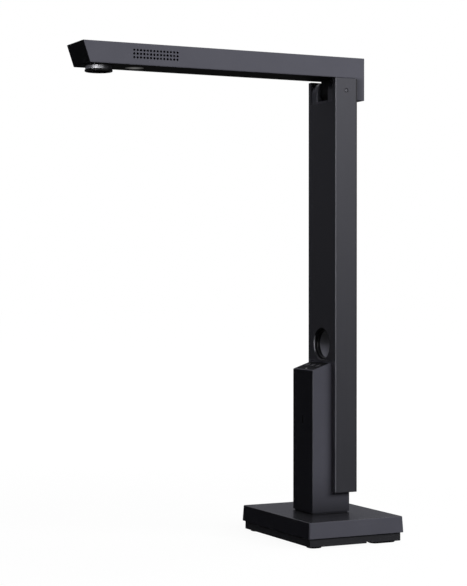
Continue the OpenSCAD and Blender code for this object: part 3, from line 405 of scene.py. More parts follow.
def carved(bm, *blades, operation="DIFFERENCE"):
    """The shape less each closed blade, or joined with it for a UNION."""
    stock, tools = held(bm, "stock"), [held(blade, "blade") for blade in blades]
    for tool in tools:
        step = stock.modifiers.new("cut", "BOOLEAN")
        step.operation, step.solver, step.object = operation, "EXACT", tool
    graph = bpy.context.evaluated_depsgraph_get()
    result = bpy.data.meshes.new_from_object(stock.evaluated_get(graph))
    out = bmesh.new()
    out.from_mesh(result)
    bpy.data.meshes.remove(result)
    for thing in (stock, *tools):
        mesh = thing.data
        bpy.data.objects.remove(thing)
        bpy.data.meshes.remove(mesh)
    return out


def welded(bm):
    """Joins the ends of a spin, and turns all its faces outwards."""
    bmesh.ops.remove_doubles(bm, verts=bm.verts, dist=WELD)
    bmesh.ops.recalc_face_normals(bm, faces=bm.faces)
    return bm


def turned(outline, axis, at, steps=96):
    """An outline of (radius, height) pairs, spun round an axis (0, 1 or 2) through the place at.
    One that starts and ends on the axis is closed by the spin, and any other by its own last edge."""
    bm = bmesh.new()
    verts = [bm.verts.new((radius, 0, height)) for radius, height in outline]
    on_axis = outline[0][0] == 0 and outline[-1][0] == 0
    pairs = zip(verts, verts[1:] + ([] if on_axis else verts[:1]))
    edges = [bm.edges.new(pair) for pair in pairs]
    bmesh.ops.spin(bm, geom=verts + edges, cent=(0, 0, 0), axis=(0, 0, 1), angle=2 * pi, steps=steps,
                   use_merge=True)
    return placed(welded(bm), at, UPRIGHT_TO[axis])


def screw(head_r, head_h, shank_r, length):
    """A pan head screw: its head's seat is at z = 0 and its shank goes up."""
    arm, width, deep = 0.62 * head_r, 0.26 * head_r, 0.55 * head_h
    bm = turned([(0, -head_h), (0.72 * head_r, -0.96 * head_h), (0.92 * head_r, -0.8 * head_h),
                 (head_r, -0.5 * head_h), (head_r, 0), (shank_r, 0), (shank_r, length - shank_r),
                 (0.2 * shank_r, length), (0, length)], 2, (0, 0, 0), 32)
    cross = [block((-a, -b, -2 * head_h), (a, b, deep - head_h)) for a, b in ((arm, width), (width, arm))]
    return carved(bm, *cross)


def steel_looks(place):
    scratch = speckle(place, 0.8, 4, (1, 0.15, 1))
    return {"Base Color": tint(scratch, paint(128, 129, 132), paint(176, 177, 180)),
            "Roughness": 0.28 + 0.2 * scratch, "Normal": relief(scratch, 0.01)}


plain_steel = surface("plain_steel", steel_looks, Metallic=1.0)
HEAD_R, HEAD_H, SHANK_R = 2.1, 1.2, 1.0
low, high = extent("tray_screws")
screws = [placed(screw(HEAD_R, HEAD_H, SHANK_R, high.z - low.z - HEAD_H), (x, y, low.z + HEAD_H))
          for x in (low.x + HEAD_R, high.x - HEAD_R) for y in (low.y + HEAD_R, high.y - HEAD_R)]
tray_screws = shown(added(*screws), "tray_screw_set", plain_steel)
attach(tray_screws, "base")
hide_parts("tray_screws")

# What the base holds: a rough steel slab that keeps it from tipping, and the main board with its socket.
# The board hangs from the cover by four screws, and the post's screws come up through the slab.


def board_looks(place):
    track = place.node("ShaderNodeTexBrick", {"offset": 0.37},
                       {"Vector": place, "Scale": 160.0, "Mortar Size": 0.09, "Brick Width": 0.9,
                        "Row Height": 0.42}, out="Fac")
    weave = speckle(place, 0.5, 2)
    return {"Base Color": tint(track, paint(18, 84, 52), paint(40, 122, 80)),
            "Roughness": 0.35 + 0.2 * weave, "Normal": relief(track + 0.3 * weave, 0.03)}


circuit_board = surface("circuit_board", board_looks, Specular_IOR_Level=0.5)
dress(circuit_board, "main_board")
dress(plain_steel, "counterweight", "cable_socket", "board_screws", "post_screws")

# The base's cover: a shallow box moulded in dark grey plastic with a fine even grain and soft edges.
# Its sides lean in a little, and its top has a gloss coat that mirrors the post on it.
# The top's darker colour is painted shade, darkest round the post's foot.
# The cable's socket opens in its rear wall.
COVER_H, COVER_LEAN, COVER_WALL, COVER_EDGE = 12.7, 0.7, 2.4, 1.4
TOP_SOFT, RIM_SOFT, POLISH_FROM, POLISH_TO = 0.5, 0.35, 0.3, 0.1
MOUTH_ROOM, MOUTH_CORNER, MOUTH_END = 0.2, 1.3, 50
LEAD_X, LEAD_Y, LEAD_OVER = 6, 2, 4
# The painted shade round the post's foot: its depth, its reach in mm and its colour.
POST_SHADE_DEPTH, POST_SHADE_REACH, SHADE = 0.8, 42, paint(18, 18, 20)
post_low, post_high = extent("post_shell")
low, high = extent("base_cover")
COVER_TOP, RIM = high.z, high.z - COVER_H


def painted_shade_near_post(place):
    """Painted shade where the post stands on the base, fainter the farther it lies from there."""
    post = zip(axes(place), (post_low.x, post_low.y, 0), (post_high.x, post_high.y, post_low.z))
    off = [abs(part - (a + b) / 2 * MM) - (b - a) / 2 * MM for part, a, b in post]
    return POST_SHADE_DEPTH * span(*[part.math("MAXIMUM", part, 0) for part in off]).band(POST_SHADE_REACH, 0) ** 2


def moulded(place, dark, light):
    """Grained moulded plastic: an even grain, faint clouds in its colour, and smears in its sheen."""
    grain = speckle(place, 0.32, 3)
    cloud = speckle(place, 30, 3)
    smear = speckle(place, 6, 4)
    return {"Base Color": tint(cloud, dark, light),
            "Roughness": 0.46 + 0.14 * grain + 0.1 * smear, "Normal": relief(grain, 0.035)}


def cover_looks(place):
    made = moulded(place, paint(77, 77, 85), paint(86, 86, 95))
    on_top = axes(place)[2].band(COVER_TOP - POLISH_FROM, COVER_TOP - POLISH_TO)
    # The top's darker colour is painted shade, with more painted shade round the post.
    shaded_top_colour = tint(speckle(place, 30, 3), paint(25, 25, 28), paint(31, 31, 34))
    shaded_top_colour = tint(painted_shade_near_post(place), shaded_top_colour, SHADE)
    return {**made, "Base Color": tint(on_top, made["Base Color"], shaded_top_colour), "Coat Weight": on_top}


cover_plastic = surface("cover_plastic", cover_looks, Specular_IOR_Level=0.04, Coat_Roughness=0.22)
cover = block((low.x, low.y, RIM), high)
bmesh.ops.scale(cover, vec=(1 - COVER_LEAN / high.x, 1 - COVER_LEAN / high.y, 1),
                verts=[v for v in cover.verts if v.co.z > RIM + 1])
rounded(cover, COVER_EDGE, 6, along(2))
rounded(cover, TOP_SOFT, 4, level_with(COVER_TOP))
rounded(cover, RIM_SOFT, 3, level_with(RIM))
inner = high - Vector((COVER_LEAN, COVER_LEAN, 0)) - Vector((COVER_WALL,) * 3)
hollow = rounded(block((-inner.x, -inner.y, 0), inner), COVER_EDGE, 4, along(2))
low, high = extent("cable_socket")
mouth = block((low.x - MOUTH_ROOM, low.y, low.z - MOUTH_ROOM),
              (high.x + MOUTH_ROOM, MOUTH_END, high.z + MOUTH_ROOM))
rounded(mouth, MOUTH_CORNER, 6, along(1))
lead = block((-LEAD_X, -LEAD_Y, RIM), (LEAD_X, LEAD_Y, COVER_TOP + LEAD_OVER))
cover = shown(carved(cover, hollow, mouth, lead), "base_cover_moulding", cover_plastic)
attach(cover, "base")
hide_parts("base_cover")

# The post: a hollow moulding in the same plastic, screwed to the base over a narrow shadow line.
# Its top slopes to the front and takes the control panel, and its front has a slot for the indicator.
# Its front edges are painted lighter as a highlight, and painted shade darkens its foot.
POST_EDGE, POST_HIGHLIGHT_IN, TOP_EDGE, FOOT_EDGE, PLINTH_EDGE = 0.8, 0.3, 0.5, 0.3, 0.8


def thickened(bm, face, width):
    """Stretches a flat face across X into a solid."""
    grown = bmesh.ops.extrude_face_region(bm, geom=[face])["geom"]
    moved = [part for part in grown if isinstance(part, bmesh.types.BMVert)]
    bmesh.ops.translate(bm, vec=(width, 0, 0), verts=moved)
    bmesh.ops.recalc_face_normals(bm, faces=bm.faces)
    return bm


def prism(outline, x0, x1):
    """A shape drawn in Y and Z, stretched across X."""
    bm = bmesh.new()
    face = bm.faces.new([bm.verts.new((x0, y, z)) for y, z in outline])
    return thickened(bm, face, x1 - x0)


def post_looks(place):
    x, y = axes(place)[:2]
    at_side = abs(x).band(post_high.x - POST_EDGE, post_high.x - POST_HIGHLIGHT_IN)
    at_front = y.band(post_low.y + POST_EDGE, post_low.y + POST_HIGHLIGHT_IN)
    made = moulded(place, paint(74, 74, 82), paint(83, 83, 92))
    # A painted highlight along the front edges, and painted shade at the foot.
    edge_highlit = tint(at_side * at_front, made["Base Color"], paint(112, 112, 120))
    return {**made, "Base Color": tint(painted_shade_near_post(place), edge_highlit, SHADE)}


case_plastic = surface("case_plastic", post_looks, Specular_IOR_Level=0.04)
PANEL_TILT, POST_WALL, REVEAL_H, REVEAL_IN, POST_FLOOR = radians(19), 2.2, 0.8, 1.0, 3.8
KEY_ROOM, PANEL_RIM, PANEL_SEAT, OVER_PANEL = 11.1, 1.4, -2.2, 4
SLOT_FLANGE, SLOT_CORNER, SLOT_OUT, SHOE_STEP, SHOE_OUT = 1.0, 0.88, 5, 2.0, 2
COLUMN_Y0 = extent("column_tube")[0].y
SLOPE_RUN = COLUMN_Y0 - post_low.y
SLOPE, PANEL_Z0 = SLOPE_RUN / cos(PANEL_TILT), post_high.z - SLOPE_RUN * tan(PANEL_TILT)


def on_panel(bm):
    """Moves a shape from the panel's own frame, where y runs up the slope and z stands square on it."""
    return placed(bm, (0, post_low.y, PANEL_Z0), Matrix.Rotation(PANEL_TILT, 3, "X"))


def sized(low, high, less):
    """A box between two corners, drawn in on all four sides by less."""
    return block((low[0] + less, low[1] + less, low[2]), (high[0] - less, high[1] - less, high[2]))


POST_Z0 = post_low.z + REVEAL_H
post = prism([(post_low.y, POST_Z0), (post_high.y, POST_Z0), (post_high.y, post_high.z),
              (COLUMN_Y0, post_high.z), (post_low.y, PANEL_Z0)], post_low.x, post_high.x)
rounded(post, POST_EDGE, 5, along(2))


def at_top(edge):
    """Chooses the edges where a wall meets the top or the slope."""
    return corner(edge) and sum(face.normal.z > 0.5 for face in edge.link_faces) == 1


rounded(post, TOP_EDGE, 4, at_top)
rounded(post, FOOT_EDGE, 3, level_with(POST_Z0))
plinth = sized(post_low, (post_high.x, post_high.y, POST_Z0 + 1), REVEAL_IN)
post = carved(post, rounded(plinth, PLINTH_EDGE, 4, along(2)), operation="UNION")
inside_x, inside_y1, FLOOR_Z = post_high.x - POST_WALL, post_high.y - POST_WALL, post_low.z + POST_FLOOR
low, high = extent("indicator_window")
slot = block((low.x + SLOT_FLANGE, low.y - SLOT_OUT, low.z + SLOT_FLANGE),
             (high.x - SLOT_FLANGE, high.y, high.z - SLOT_FLANGE))
low, high = extent("brake_shoe")
post = carved(
    post,
    block((-inside_x, post_low.y + POST_WALL, FLOOR_Z), (inside_x, inside_y1, PANEL_Z0 - KEY_ROOM)),
    block((-inside_x, COLUMN_Y0 + POST_WALL, FLOOR_Z), (inside_x, inside_y1, post_high.z - POST_WALL)),
    on_panel(block((-inside_x, POST_WALL, -KEY_ROOM - POST_WALL),
                   (inside_x, SLOPE - POST_WALL, OVER_PANEL))),
    on_panel(sized((post_low.x, 0, PANEL_SEAT), (post_high.x, SLOPE, OVER_PANEL), PANEL_RIM)),
    rounded(slot, SLOT_CORNER, 8, along(1)),
    block((low.x + SHOE_STEP, low.y, low.z + SHOE_STEP),
          (high.x - SHOE_STEP, high.y + SHOE_OUT, high.z - SHOE_STEP)),
    block((-LEAD_X, -LEAD_Y, RIM), (LEAD_X, LEAD_Y, FLOOR_Z + 2)),
)
post = shown(post, "post_moulding", case_plastic)
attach(post, "base")
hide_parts("post_shell")

# Inside the post: nylon wear strips and a brake shoe on a leaf spring that hold the column at any height,
# and the boards and the flat cable behind the panel. None of it shows while the scanner is whole.


def nylon_looks(place):
    cloud = speckle(place, 3, 3)
    return {"Base Color": tint(cloud, paint(212, 209, 198), paint(226, 223, 214)),
            "Roughness": 0.4 + 0.2 * cloud, "Normal": relief(cloud, 0.03)}


def cable_looks(place):
    across = axes(place)[0] * 1000
    wire = across.math("PINGPONG", across, 0.5) * 2
    return {"Base Color": tint(wire, paint(196, 196, 192), paint(226, 226, 222)),
            "Roughness": 0.4 + 0.1 * wire}


guide_nylon = surface("guide_nylon", nylon_looks, Specular_IOR_Level=0.4)
flat_cable = surface("flat_cable", cable_looks, Specular_IOR_Level=0.4)
dress(guide_nylon, "post_wear_strips", "brake_shoe")
dress(plain_steel, "brake_spring")
dress(flat_cable, "post_ribbon")
dress(circuit_board, "key_board", "indicator_board")
dress(tray_plastic, "key_switches")

# The control panel: a thin near-black plate with a faint brushed finish, sunk into the post's sloping top.
# Three round keys come up through it, with a status light in front of them.
PLATE_RIM, PLATE_TOP, PLATE_CORNER, PLATE_EDGE = 1.5, -0.2, 0.3, 0.2
KEY_X, KEY_UP, KEY_R, KEY_GAP = (-9.0, 0.0, 9.0), 10.0, 3.2, 0.2
FUNNEL_WIDE, FUNNEL_NARROW, FUNNEL_Z0, FUNNEL_Z1 = 0.55, 0.15, -0.5, -0.1
STATUS_UP, STATUS_R, STATUS_GAP = 3.6, 0.7, 0.1
HOLE_Z0, HOLE_Z1 = -4, 1


def panel_looks(place):
    brush = speckle(place, 0.9, 4, (1, 0.06, 0.06))
    cloud = speckle(place, 5, 3)
    return {"Base Color": tint(0.6 * brush + 0.4 * cloud, paint(10, 10, 12), paint(24, 24, 27)),
            "Roughness": 0.36 + 0.2 * brush, "Normal": relief(brush, 0.02)}


panel_plastic = surface("panel_plastic", panel_looks, Specular_IOR_Level=0.01)
panel = sized((post_low.x, 0, PANEL_SEAT), (post_high.x, SLOPE, PLATE_TOP), PLATE_RIM)
rounded(panel, PLATE_CORNER, 3, along(2))
rounded(panel, PLATE_EDGE, 3, level_with(PLATE_TOP))
holes = []
for x in KEY_X:
    holes.append(rod(KEY_R + KEY_GAP, 2, HOLE_Z0, HOLE_Z1, (x, KEY_UP, 0), 64))
    holes.append(rod(KEY_R + FUNNEL_WIDE, 2, FUNNEL_Z0, FUNNEL_Z1, (x, KEY_UP, 0), 64,
                     low_radius=KEY_R + FUNNEL_NARROW))
holes.append(rod(STATUS_R + STATUS_GAP, 2, HOLE_Z0, HOLE_Z1, (0, STATUS_UP, 0), 32))
panel = shown(on_panel(carved(panel, *holes)), "panel_plate", panel_plastic)
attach(panel, "base")
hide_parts("control_panel")


def frosted_looks(place):
    cloud = speckle(place, 1.2, 3)
    return {"Base Color": tint(cloud, paint(196, 196, 194), paint(222, 222, 220)),
            "Roughness": 0.3 + 0.15 * cloud, "Normal": relief(cloud, 0.02)}


lamp_plastic = surface("lamp_plastic", frosted_looks, Specular_IOR_Level=0.5)
dress(lamp_plastic, "status_light")

# The keys: three round caps of black plastic with a soft edge, each on its own switch under the panel.
# Their signs, for power, scanning and the lamp, are thin pale inlays in the caps.


def key_looks(place):
    grain = speckle(place, 0.25, 3)
    return {"Base Color": tint(speckle(place, 3), paint(22, 22, 25), paint(32, 32, 36)),
            "Roughness": 0.42 + 0.15 * grain, "Normal": relief(grain, 0.02)}


def ink_looks(place):
    grain = speckle(place, 0.3, 3)
    return {"Base Color": tint(grain, paint(96, 96, 100), paint(120, 120, 124)),
            "Roughness": 0.5 + 0.2 * grain}


key_plastic = surface("key_plastic", key_looks, Specular_IOR_Level=0.05)
key_ink = surface("key_ink", ink_looks, Specular_IOR_Level=0.15)
KEY_TOP, KEY_SLOPE_R, KEY_SLOPE_Z, KEY_SOFT = 0.2, 0.55, 0.5, 0.22
KEY_FLANGE_R, KEY_FLANGE_TOP, KEY_FLANGE_END = 3.8, -2.4, -3.0
STEM_R, STEM_END = 0.9, -4.9
INK, STROKE, THIN_STROKE, DOT_R, ARC_R = 0.05, 0.34, 0.28, 0.62, 1.25
INK_Z0, INK_Z1 = KEY_TOP - 0.1, KEY_TOP + INK


def bar(length, start, turn, width=STROKE):
    """A short stroke of a sign from start outwards, turned about the key's middle."""
    bm = block((-width / 2, start, INK_Z0), (width / 2, start + length, INK_Z1))
    return placed(bm, (0, 0, 0), Matrix.Rotation(turn, 3, "Z"))


def dot():
    """The round middle of a sign."""
    return rod(DOT_R, 2, INK_Z0, INK_Z1, sides=32)


def arc(radius, sweep_angle, start):
    """An open round stroke of a sign."""
    bm = bmesh.new()
    inner, outer = radius - STROKE / 2, radius + STROKE / 2
    ends = ((inner, INK_Z0), (outer, INK_Z0), (outer, INK_Z1), (inner, INK_Z1))
    face = bm.faces.new([bm.verts.new((r, 0, z)) for r, z in ends])
    bmesh.ops.spin(bm, geom=[face, *face.edges, *face.verts], cent=(0, 0, 0), axis=(0, 0, 1),
                   angle=sweep_angle, steps=40)
    return placed(welded(bm), (0, 0, 0), Matrix.Rotation(start, 3, "Z"))


def at_rim(edge):
    """Chooses the two edges of a cap's sloped rim."""
    return edge.calc_face_angle(0) > radians(25) and edge.verts[0].co.z > -0.6


signs = {
    "left": [arc(ARC_R, radians(290), radians(125)), bar(1.15, 0.5, 0)],
    "middle": [dot()] + [bar(0.6, 1.15, i * pi / 2 + pi / 4) for i in range(4)],
    "right": [dot()] + [bar(0.5, 1.05, i * pi / 4, THIN_STROKE) for i in range(8)],
}
for (side, strokes), x in zip(signs.items(), KEY_X):
    cap = turned([(0, KEY_TOP), (KEY_R - KEY_SLOPE_R, KEY_TOP), (KEY_R, KEY_TOP - KEY_SLOPE_Z),
                  (KEY_R, KEY_FLANGE_TOP), (KEY_FLANGE_R, KEY_FLANGE_TOP), (KEY_FLANGE_R, KEY_FLANGE_END),
                  (STEM_R, KEY_FLANGE_END), (STEM_R, STEM_END), (0, STEM_END)], 2, (x, KEY_UP, 0), 64)
    rounded(cap, KEY_SOFT, 3, at_rim)
    cap = shown(on_panel(cap), f"{side}_key_cap", key_plastic)
    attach(cap, f"{side}_button")
    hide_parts(f"{side}_key")
    sign = shown(on_panel(placed(added(*strokes), (x, KEY_UP, 0))), f"{side}_key_sign", key_ink)
    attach(sign, f"{side}_button")

# The indicator: a smoked plastic light pipe that fills the slot in the post's front.
# It is pushed in from behind and held by its flange and the small board that lights it.


def smoke_looks(place):
    cloud = speckle(place, 2, 2)
    return {"Base Color": tint(cloud, paint(2, 2, 2), paint(5, 5, 6)), "Roughness": 0.3 + 0.1 * cloud}


smoked_window = surface("smoked_window", smoke_looks, Specular_IOR_Level=0.05)
dress(smoked_window, "indicator_window")

# The column: an aluminium extrusion, blasted and anodised dark grey, that slides up the post.
# Its front is slotted for the post, pierced for the lens to park in, and notched at the top for the hinge.
# Painted highlights brighten its front edges and the left of the hole's chamfer, and painted light
# from the post brightens the strips beside it. Painted shade darkens its rear edges and the hole's rim.
COLUMN_WALL, CHEEK, COLUMN_EDGE, COLUMN_HIGHLIGHT_IN, END_EDGE, BACK_SHADE = 2.4, 4.8, 0.9, 0.4, 0.35, 1.7
SLOT_ROOM, SLOT_EDGE, PIN_ROOM, PIN_REACH, OVER_COLUMN = 0.4, 0.6, 0.3, 30, 10
CUT_Y0, CUT_Y1 = -1, 5
DRILL_Y0, DRILL_Y1, SHANK_ROOM, HEAD_ROOM = 16, 22, 0.2, 0.1
CHAMFER_HIGHLIGHT_Z, CHAMFER_HIGHLIGHT_X = (7, 5), (-5, -8)
column_low, column_high = extent("column_tube")
pin_low, pin_high = extent("hinge_pin")
PIN_Y, PIN_Z = (pin_low.y + pin_high.y) / 2, (pin_low.z + pin_high.z) / 2
PIN_R = (pin_high.z - pin_low.z) / 2
cup_low, cup_high = extent("parking_cup")
CUP_R, CUP_LIP, PARK_CHAMFER = (cup_high.z - cup_low.z) / 2, 1.0, 0.9
PARK_Z, PARK_R = (cup_low.z + cup_high.z) / 2, CUP_R - CUP_LIP
SADDLE_H = 18.0
bracket_low, bracket_high = extent("hinge_bracket")
EAR_FOOT = bracket_low.z + SADDLE_H
CHANNEL_X = column_high.x - CHEEK
COUNTERBORE = 1.2


def column_looks(place):
    x, y, z = axes(place)
    grain = speckle(place, 0.22, 2)
    streak = speckle(place, 1.6, 3, (1, 1, 0.03))
    at_side = abs(x).band(column_high.x - COLUMN_EDGE, column_high.x - COLUMN_HIGHLIGHT_IN)
    at_front = y.band(column_low.y + COLUMN_EDGE, column_low.y + COLUMN_HIGHLIGHT_IN)
    at_back = y.band(column_high.y - BACK_SHADE, column_high.y - COLUMN_EDGE)
    above = z - PARK_Z * MM
    reach = span(x, above)
    in_front = y.band(column_low.y + 2 * COLUMN_WALL, column_low.y + COLUMN_WALL)
    shaded_rim = in_front * reach.band(PARK_R + 1.1, PARK_R + 0.9)
    on_chamfer = reach.band(PARK_R + 0.15, PARK_R + 0.4)
    chamfer_highlight = on_chamfer * abs(above).band(*CHAMFER_HIGHLIGHT_Z) * x.band(*CHAMFER_HIGHLIGHT_X)
    post_bounce_light = z.band(post_high.z + 2, post_high.z) * y.band(column_low.y + 0.8, column_low.y)
    # Painted highlights and light from the post brighten it; painted shade darkens rear edges and hole
    # rim.
    bare = tint(0.5 * grain + 0.5 * streak, paint(46, 46, 50), paint(55, 55, 60))
    bare = tint(post_bounce_light, bare, paint(84, 84, 90))
    edge_highlit = tint(at_side * at_front, bare, paint(88, 88, 93))
    back_edge_shade = tint(at_side * at_back, edge_highlit, paint(16, 16, 18))
    return {"Base Color": tint(shaded_rim, back_edge_shade, tint(chamfer_highlight, paint(26, 26, 28), paint(132, 132, 137))),
            "Roughness": 0.41 + 0.13 * grain + 0.06 * streak, "Normal": relief(grain, 0.02)}


column_metal = surface("column_metal", column_looks, Metallic=0.7, Specular_IOR_Level=0.4)
back_screws = {}
for name in ("bracket_screws", "stop_screws"):
    low, high = extent(name)
    back_screws[name] = [(x, (low.z + high.z) / 2) for x in (low.x + HEAD_R, high.x - HEAD_R)]
column = block(column_low, column_high)
rounded(column, COLUMN_EDGE, 5, along(2))
rounded(column, END_EDGE, 3, lambda edge: any(level_with(z)(edge) for z in (column_low.z, column_high.z)))
SLOT_X, OVER_Z = post_high.x + SLOT_ROOM, column_high.z + OVER_COLUMN
slot = block((-SLOT_X, CUT_Y0, 0), (SLOT_X, CUT_Y1, post_high.z + SLOT_ROOM))
cuts = [
    block((-CHANNEL_X, column_low.y + COLUMN_WALL, 0), (CHANNEL_X, column_high.y - COLUMN_WALL, OVER_Z)),
    rounded(slot, SLOT_EDGE, 3, along(1)),
    block((-CHANNEL_X, CUT_Y0, EAR_FOOT), (CHANNEL_X, CUT_Y1, OVER_Z)),
    block((-CHANNEL_X, column_high.y - 4, PIN_Z + 2), (CHANNEL_X, column_high.y + 2, OVER_Z)),
    rod(PARK_R, 1, CUT_Y0, CUT_Y1, (0, 0, PARK_Z), 128),
    rod(PARK_R - 0.1, 1, column_low.y - 0.1, column_low.y + PARK_CHAMFER, (0, 0, PARK_Z), 128,
        low_radius=PARK_R + PARK_CHAMFER),
    rod(PIN_R + PIN_ROOM, 0, -PIN_REACH, PIN_REACH, (0, PIN_Y, PIN_Z)),
]
for places in back_screws.values():
    for x, z in places:
        cuts.append(rod(SHANK_R + SHANK_ROOM, 1, DRILL_Y0, DRILL_Y1, (x, 0, z), 32))
        cuts.append(rod(HEAD_R + HEAD_ROOM, 1, column_high.y - COUNTERBORE, DRILL_Y1, (x, 0, z), 48))
column = shown(carved(column, *cuts), "column_extrusion", column_metal)
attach(column, "column")
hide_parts("column_tube")

# The parking recess: a black cup behind the column's front with a dished pad of smooth grey rubber in it.
# The lens lies in it, clear of the pad, when the arm is folded down.
# The pad's wall is painted near-black as shade.
CUP_WALL, CUP_FLOOR, CUP_CHAMFER = 1.3, 1.0, 0.5
PAD_WALL, PAD_WEB, PAD_EDGE, DISH_DEPTH, DISH_STEPS = 0.6, 0.7, 0.2, 2.7, 16
pad_low, pad_high = extent("parking_pad")
PAD_R, PAD_BORE, SEAT_Y = pad_high.x, pad_high.x - PAD_WALL, pad_high.y - PAD_WEB - DISH_DEPTH
bore, floor_y = CUP_R - CUP_WALL, cup_high.y - CUP_FLOOR
cup = turned([(0, cup_high.y), (CUP_R, cup_high.y), (CUP_R, cup_low.y), (bore, cup_low.y),
              (bore, floor_y - CUP_CHAMFER), (bore - CUP_CHAMFER, floor_y), (0, floor_y)],
             1, (0, 0, PARK_Z), 128)
cup = shown(cup, "parking_cup_moulding", tray_plastic)
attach(cup, "column")
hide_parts("parking_cup")


def pad_looks(place):
    x, z = axes(place)[::2]
    shaded_wall = span(x, z - PARK_Z * MM).band(PAD_BORE - 0.5, PAD_BORE - 0.1)
    grain = speckle(place, 0.5, 3)
    dish = tint(speckle(place, 4), paint(108, 108, 113), paint(126, 126, 131))
    # The pad's wall is painted near-black as shade.
    return {"Base Color": tint(shaded_wall, dish, paint(10, 10, 11)),
            "Roughness": 0.26 + 0.1 * grain, "Normal": relief(grain, 0.02)}


pad_rubber = surface("pad_rubber", pad_looks, Metallic=0.6, Specular_IOR_Level=0.9)
dish = [(PAD_BORE * i / DISH_STEPS, SEAT_Y + DISH_DEPTH * (1 - (i / DISH_STEPS) ** 2))
        for i in range(DISH_STEPS + 1)]
pad = turned([*dish, (PAD_BORE, pad_low.y + PAD_EDGE), (PAD_BORE + PAD_EDGE, pad_low.y),
              (PAD_R - PAD_EDGE, pad_low.y), (PAD_R, pad_low.y + PAD_EDGE), (PAD_R, pad_high.y),
              (0, pad_high.y)], 1, (0, 0, PARK_Z), 128)
pad = shown(pad, "parking_dish", pad_rubber)
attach(pad, "column")
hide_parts("parking_pad")

# The column's inner pieces: nylon strips, the stop that rests on the post, and the flat cable.
# Four screws with cross recesses, sunk into the back, hold the stop and the hinge's bracket.
dress(guide_nylon, "column_wear_strips")
dress(tray_plastic, "travel_stop")
dress(flat_cable, "column_ribbon")
BACK_HEAD_H, BACK_SCREW_L, FACING_BACK = 1.1, 6, Matrix.Rotation(pi / 2, 3, "X")
for name, places in back_screws.items():
    pair = [placed(screw(HEAD_R, BACK_HEAD_H, SHANK_R, BACK_SCREW_L),
                   (x, column_high.y - COUNTERBORE, z), FACING_BACK) for x, z in places]
    pair = shown(added(*pair), f"{name[:-1]}_pair", plain_steel)
    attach(pair, "column")
    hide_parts(name)

# The hinge: a die-cast bracket with two round ears in the column's top, painted dark, and the arm's black
# tongue. A blackened steel pin goes through the cheeks, the ears and the tongue, and two washers give it
# friction. The tongue's near-black colour is painted shade for the dark notch round it.


def cast_looks(place):
    grain = speckle(place, 0.5, 3)
    return {"Base Color": tint(speckle(place, 4), paint(56, 56, 62), paint(68, 68, 74)),
            "Roughness": 0.42 + 0.15 * grain, "Normal": relief(grain, 0.03)}


def blackened_looks(place):
    cloud = speckle(place, 1.5, 3)
    return {"Base Color": tint(cloud, paint(58, 58, 62), paint(72, 72, 76)),
            "Roughness": 0.4 + 0.2 * cloud, "Normal": relief(cloud, 0.01)}


# The tongue's near-black is painted shade for the notch round it.
def notch_shade_looks(place):
    grain = speckle(place, 0.5, 3)
    return {"Base Color": tint(grain, paint(12, 12, 13), paint(20, 20, 22)),
            "Roughness": 0.6 + 0.2 * grain}


hinge_metal = surface("hinge_metal", cast_looks, Metallic=0.7, Specular_IOR_Level=0.4)
black_steel = surface("black_steel", blackened_looks, Metallic=1.0)
tongue_black = surface("tongue_black", notch_shade_looks, Specular_IOR_Level=0.1)
EAR_R, EAR_IN, EAR_EDGE, EAR_ROOM = bracket_high.z - PIN_Z, 8.8, 0.8, 0.2
BRACKET_WEB, SADDLE_Y0, PIN_EDGE = 1.7, column_low.y + COLUMN_WALL + 0.1, 0.4


def over_foot(edge):
    """Chooses an ear's edges above the saddle."""
    return corner(edge) and max(v.co.z for v in edge.verts) > EAR_FOOT + 1


def ear(x0, x1):
    """One of the bracket's ears: an upright plate whose top is round about the pin."""
    bm = bmesh.new()
    front = bm.verts.new((x0, PIN_Y - EAR_R, PIN_Z))
    reach = acos((bracket_high.y - PIN_Y) / EAR_R)
    bmesh.ops.spin(bm, geom=[front], cent=(x0, PIN_Y, PIN_Z), axis=(1, 0, 0), angle=reach - pi, steps=48)
    bm.verts.new((x0, bracket_high.y, EAR_FOOT))
    bm.verts.new((x0, PIN_Y - EAR_R, EAR_FOOT))
    thickened(bm, bm.faces.new(bm.verts), x1 - x0)
    return rounded(bm, EAR_EDGE, 4, over_foot)


web = block((-EAR_IN, bracket_low.y, EAR_FOOT), (EAR_IN, bracket_high.y, EAR_FOOT + BRACKET_WEB))
saddle = block((bracket_low.x, SADDLE_Y0, bracket_low.z), (bracket_high.x, bracket_high.y, EAR_FOOT))
casting = carved(saddle, web, ear(bracket_low.x, -EAR_IN), ear(EAR_IN, bracket_high.x), operation="UNION")
casting = carved(casting, rod(PIN_R + EAR_ROOM, 0, -PIN_REACH, PIN_REACH, (0, PIN_Y, PIN_Z)))
casting = shown(casting, "hinge_casting", hinge_metal)
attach(casting, "column")
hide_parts("hinge_bracket")
dress(tongue_black, "hinge_tongue")
dress(plain_steel, "friction_washers")
pin = rounded(rod(PIN_R, 0, pin_low.x, pin_high.x, (0, PIN_Y, PIN_Z)), PIN_EDGE, 3, corner)
pin = shown(pin, "hinge_pin_rod", black_steel)
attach(pin, "column")
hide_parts("hinge_pin")

# The arm: a long thin moulding in the case's plastic with a slanted tip and a tab that hangs down behind.
# Its right wall is drilled with three rows of small holes for the speaker behind them.
# Its tip's face is painted darker as shade, and painted shade darkens the tab where it meets the column.
ARM_H, ARM_WALL, ARM_EDGE, BOTTOM_T, TIP_SLANT, TAB_T = 16.4, 2.0, 0.35, 1.8, radians(18.6), 8.7
GRILLE_COLUMNS, GRILLE_ROWS, GRILLE_PITCH, GRILLE_R, TAB_SHADE_DEPTH = 14, 3, 2.74, 0.92, 0.7
arm_low, arm_high = extent("arm_housing")
ARM_Z0, TAB_Y0 = arm_high.z - ARM_H, arm_high.y - TAB_T
TIP_Y0 = arm_low.y + ARM_H * tan(TIP_SLANT)
bottom_y = extent("arm_bottom_cover")[0].y - 0.1
roof = arm_high.z - ARM_WALL


